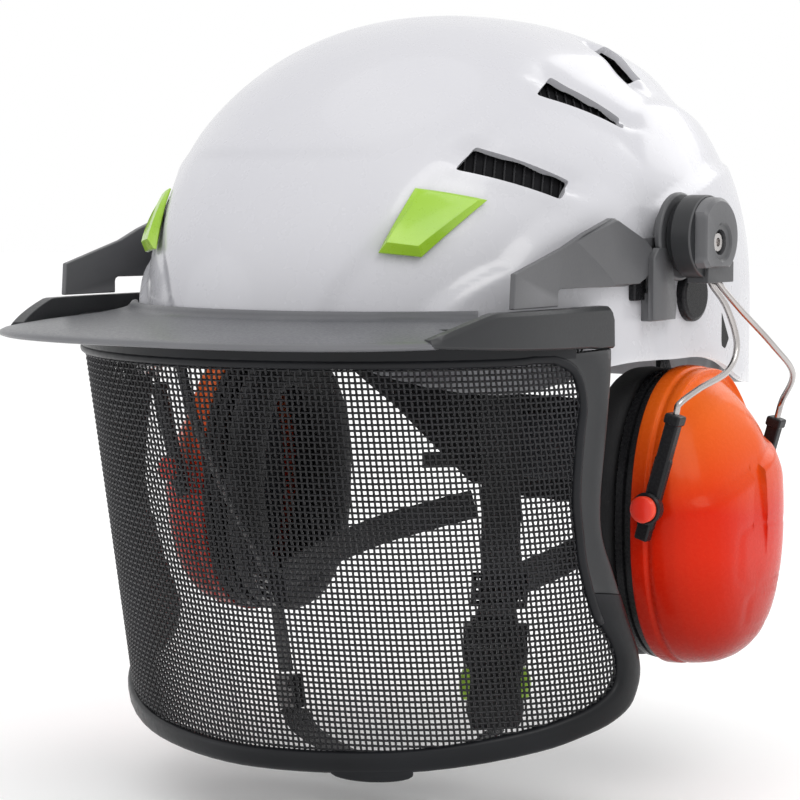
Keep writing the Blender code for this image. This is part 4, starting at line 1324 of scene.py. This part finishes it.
def nape():
    places = (0, 20, 35, 60, 82)
    low = mirror_table(places, (-92, -90, -84, -48, -24))
    high = mirror_table(places, (-44, -43, -44, -30, -10))
    strip = ring_strip(arc(8, 172, 110), RING_WALL + 1.4, 2.2, low, high)
    rear = HEAD_CENTRE_Y + HEAD_RADIUS
    housing = box((44, 5.2, 34), (0, rear + 10.6, KNOB_Z))
    piece("cradle", join(strip, housing), "black", "nape", "nape_cradle", bevel=0.5)
    cushion = []
    for angle in arc(66, 114, 31):
        ring = []
        for k in range(20):
            turn = 2 * math.pi * k / 20
            out = 0.9 + 1.6 * power(math.cos(turn), 0.8)
            ring.append(head_point(angle, out, KNOB_Z + 15 * power(math.sin(turn), 0.7)))
        cushion.append(ring)
    pad = piece("nape_cushion", loft(cushion), "pad", "nape")
    for hand, centre_z, first, last in (("left", KNOB_Z + 8, 40, 96), ("right", KNOB_Z - 8, 84, 140)):
        low, high = centre_z - RACK_HALF, centre_z + RACK_HALF
        strip = ring_strip(arc(first, last, 60), 6.0, 2.0, lambda angle: low, lambda angle: high, 6)
        piece(f"rack_{hand}_strip", strip, "grey", f"rack_{hand[0]}", f"rack_{hand}", sharp=40)


def knob():
    rear = HEAD_CENTRE_Y + HEAD_RADIUS
    profile = (
        (5.6, 4), (13.6, 4), (13.6, 14.6), (15, 17), (22.6, 17), (24.4, 15.4), (25, 13.6), (24.2, 12.4),
        (24.2, 4), (24.6, 1),
    )
    rings = []
    for place, radius in profile:
        middle = Vector((0, 0, KNOB_Z)) + Vector((0, rear + place, 0))
        ring = circle(middle, radius, "Y", KNOB_COUNT)
        if radius > 14:
            for i, point in enumerate(ring):
                groove = 1.4 * max(0, math.cos(2 * math.pi * i / KNOB_COUNT * KNOB_FLUTES)) ** 2
                ring[i] = point - (point - middle).normalized() * groove
        rings.append(ring)
    piece("knob", loft(rings), "rubber", "knob", "adjuster_knob", sharp=40)


head_ring()
crown_cushion()
nape()
knob()

# Webbing and buckle

WEB_WIDTH, WEB_WALL = 15, 1.5
BUCKLE = Vector((55, -50, -144))
CHEEK = math.radians(35)
CHEEK_OUT = Vector((math.sin(CHEEK), -math.cos(CHEEK), 0))


def web(name, path, facing, width, nodes, side=1):
    """Flat webbing with thicker edges; UVs are millimetres along and across, for the weave."""
    path = [Vector(point) for point in path]
    section = []
    for k in range(9):
        share = k / 4 - 1
        edge = 1 + 0.25 * (abs(share) > 0.8) - 0.5 * (abs(share) > 0.99)
        section.append((share, edge))
    section = section + [(share, -edge) for share, edge in section[::-1]]
    rings, travel, gone = [], [], 0.0
    for i, point in enumerate(path):
        along = tangent(path, i)
        out = Vector(facing[i] if isinstance(facing, list) else facing)
        out = (out - along * out.dot(along)).normalized()
        across = along.cross(out)
        rings.append([point + across * s * width / 2 + out * e * WEB_WALL / 2 for s, e in section])
        gone += (point - path[max(i - 1, 0)]).length
        travel.append(gone)
    bm = loft(rings)
    uv = bm.loops.layers.uv.new("weave")
    bm.verts.index_update()
    count = len(section)
    for face in bm.faces:
        for loop in face.loops:
            row, column = divmod(loop.vert.index, count)
            loop[uv].uv = (section[column][0] * width / 2, travel[row])
    piece(name, bm, "webbing", "helmet", nodes, side, sharp=60)


def frame_along(direction, out):
    along = Vector(direction).normalized()
    out = (Vector(out) - along * Vector(out).dot(along)).normalized()
    return (along.cross(out), out, along)


def ladder(name, centre, along, out, node_name, side=1):
    """A strap adjuster: two side rails and three bars that the webbing weaves through."""
    axes = across, out, along = frame_along(along, out)
    parts = [box((2.0, 6.6, 12), centre + across * reach, axes) for reach in (10, -10)]
    for shift in (-5, 0, 5):
        for high in (2.4, -2.4):
            parts.append(box((19, 1.5, 2.2), centre + along * shift + out * high, axes))
    piece(name, join(*parts), "black", "helmet", node_name, side, bevel=0.4)


def anchor(side, hand):
    axes = frame_along((0, 0, 1), (0.68, -0.73, 0))
    body = box((18, 3.6, 20), (78.5, -84.5, 3), axes)
    rivet = turned([(0, 4), (1.2, 4), (1.8, 2.8)], (0, 0, 0), "Z", 24)
    rivet.transform(Matrix(axes).transposed().to_4x4() @ Matrix.Rotation(math.radians(90), 4, "X"))
    rivet.transform(Matrix.Translation((78.5, -84.5, 5)))
    piece(f"anchor_{hand}", join(body, rivet), "black", "helmet", f"strap_anchor_{hand}", side, bevel=0.6)


STRAP_TOP = Vector((78.5, -84, -7.6))
SLIDER = Vector((52, -42, -160))
JUNCTIONS = {"left": Vector((62, -58, -104)), "right": Vector((62, -42, -117))}
REAR_ROUTES = {
    "left": ((68, -18, -96), (72, 20, -86), (67, 48, -76)),
    "right": ((69, 0, -110), (66, 40, -103), (52, 68, -97), (40, 80, -93)),
}
CHIN_ROUTE = ((-38, -46, -176), (0, -54, -182), (36, -53, -177))
CHIN_MIDDLE = Vector((0, -40, -100))
ROUTE_STEP = 3


def front_straps():
    """From the anchors through the strap adjusters, to the buckle on the left and the slider on the right."""
    for side, hand, upper, lower, end, overlap in (
        (1, "left", (76, -79, -40), (69, -68, -76), BUCKLE + Vector((0, 0, 26.2)), (0, 0, 0)),
        (-1, "right", (76, -77, -40), (69, -62, -78), SLIDER, (1.9, 0, 8)),
    ):
        junction = JUNCTIONS[hand]
        route = smooth_route([STRAP_TOP, upper, lower, junction, end + Vector(overlap)], ROUTE_STEP)
        web(f"front_strap_{hand}", route, CHEEK_OUT, WEB_WIDTH, f"strap_front_{hand}", side)
        ladder(f"adjuster_{hand}", junction, end - Vector(lower), CHEEK_OUT, f"strap_adjuster_{hand}", side)


def slider():
    axes = frame_along((10, 0, 43), CHEEK_OUT)
    parts = [box((21, 5.6, 14), SLIDER, axes)]
    for shift in (3, -3):
        parts.append(box((17, 1.0, 3), SLIDER + axes[1] * 2.8 + axes[2] * shift, axes))
    piece("slider", join(*parts), "black", "helmet", "length_adjuster", -1, bevel=0.6)


def rear_straps():
    for side, hand in SIDES:
        start = JUNCTIONS[hand] + Vector((2.0, 11.5, 3))
        route = smooth_route([start, *REAR_ROUTES[hand]], ROUTE_STEP)
        facing = [Vector((1, max(point.y - 10, 0) / 40, 0)) for point in route]
        web(f"rear_strap_{hand}", route, facing, WEB_WIDTH - 2, f"strap_rear_{hand}", side)


def chin_strap():
    right_end = SLIDER + Vector((-1.8, 0, -8.2))
    right_end.x = -right_end.x
    route = smooth_route([right_end, *CHIN_ROUTE, BUCKLE + Vector((0, 0, -17.6))], ROUTE_STEP)
    facing = [(point - CHIN_MIDDLE) * Vector((1, 0.4, 1)) for point in route]
    web("chin_web", route, facing, WEB_WIDTH, "chin_strap")


SOCKET_RINGS = (
    (-16, 9, 3.2), (-14.5, 10, 4.4), (-9, 11.5, 5), (-3, 11, 5), (7, 10.4, 5), (11, 12.6, 5), (15, 13.2, 4.8),
    (16, 12.8, 4.4),
)
PRONG_RINGS = ((-5.5, 1.6), (-4, 2.6), (0, 3.1), (3, 2.8), (6, 1.4), (7, 0.6))


def buckle():
    """Side-release buckle: waisted socket, ribbed plug and two lime prongs."""
    across = Vector((math.cos(CHEEK), math.sin(CHEEK), 0))
    up = Vector((0, 0, 1))
    rings = [
        [BUCKLE + across * half * c + CHEEK_OUT * thick * s + up * z for c, s in oval(32, 0.5)]
        for z, half, thick in SOCKET_RINGS
    ]
    piece("buckle_body", loft(rings), "black", "helmet", "buckle_socket", sharp=35)
    axes = (across, CHEEK_OUT, up)
    base = BUCKLE + up * 20.6
    parts = [box((25, 8.2, 8.2), base, axes)]
    for shift in (-2, 0, 2):
        parts.append(box((14, 0.8, 0.9), base + CHEEK_OUT * 4.3 + up * shift, axes))
    for out in (2, -2.6):
        parts.append(box((18, 3, 2), base + up * 5.6 + CHEEK_OUT * out, axes))
    piece("buckle_latch", join(*parts), "black", "helmet", "buckle_plug", bevel=0.6)
    for sign, hand in SIDES:
        rings = []
        for z, reach in PRONG_RINGS:
            centre = BUCKLE + across * sign * 11.2 + up * (z + 1)
            rings.append([centre + across * reach * c + CHEEK_OUT * 3.6 * s for c, s in oval(24, 0.7)])
        piece(f"prong_{hand}", loft(rings), "lime", f"prong_{hand[0]}", f"buckle_prong_{hand}", sharp=40)


for side, hand in SIDES:
    anchor(side, hand)
front_straps()
slider()
rear_straps()
chin_strap()
buckle()

# Studio

FLOOR_LEVEL, FLOOR_DROP, FLOOR_HALF = -0.19, 1.0, 6
FLOOR_GLOW, WORLD_GLOW = 0.07, 1.0
AIM = Vector((0, -0.02, -0.03))
# Name, place and size in metres, power in watts, colour.
LAMPS = (
    ("key", (1.3, -0.7, 1.3), 1.0, 8.4, (1.0, 0.99, 0.97)),
    ("fill", (-1.3, -1.2, 0.1), 1.2, 2.5, (0.95, 0.96, 1.0)),
    ("top", (-0.2, 0.1, 1.8), 1.4, 2, (1, 1, 1)),
    ("back", (0.3, 1.6, 1.0), 1.2, 5, (1, 1, 1)),
)


def make_floor():
    bm = bmesh.new()
    bmesh.ops.create_grid(bm, x_segments=2, y_segments=2, size=FLOOR_HALF)
    mesh = bpy.data.meshes.new("floor")
    bm.to_mesh(mesh)
    bm.free()
    floor = add("floor", mesh)
    floor.location = (0, 0, min(CAD_BOX[0][2], FLOOR_LEVEL) - FLOOR_DROP * MM)
    tree, shader, coords = new_shader("floor")
    drift = noise(tree, coords.outputs["Object"], 1.5, 2)
    shade = mix_colour(tree, drift, (0.96, 0.96, 0.962), (0.98, 0.98, 0.98))
    tree.links.new(shade, shader.inputs["Base Color"])
    put(shader, Roughness=0.9, Emission_Color=(1, 1, 1, 1), Emission_Strength=FLOOR_GLOW)
    mesh.materials.append(MADE["floor"])


def studio():
    world = bpy.data.worlds.new("studio")
    world.use_nodes = True
    put(world.node_tree.nodes["Background"], Color=(1, 1, 1, 1), Strength=WORLD_GLOW)
    bpy.context.scene.world = world
    for name, place, size, energy, colour in LAMPS:
        data = bpy.data.lights.new(name, "AREA")
        data.shape, data.size, data.energy, data.color = "DISK", size, energy, colour
        lamp = add(name, data)
        lamp.location = place
        lamp.rotation_mode = "QUATERNION"
        lamp.rotation_quaternion = (AIM - Vector(place)).to_track_quat("-Z", "Y")
    bpy.context.scene.view_settings.view_transform = "Standard"


make_floor()
studio()
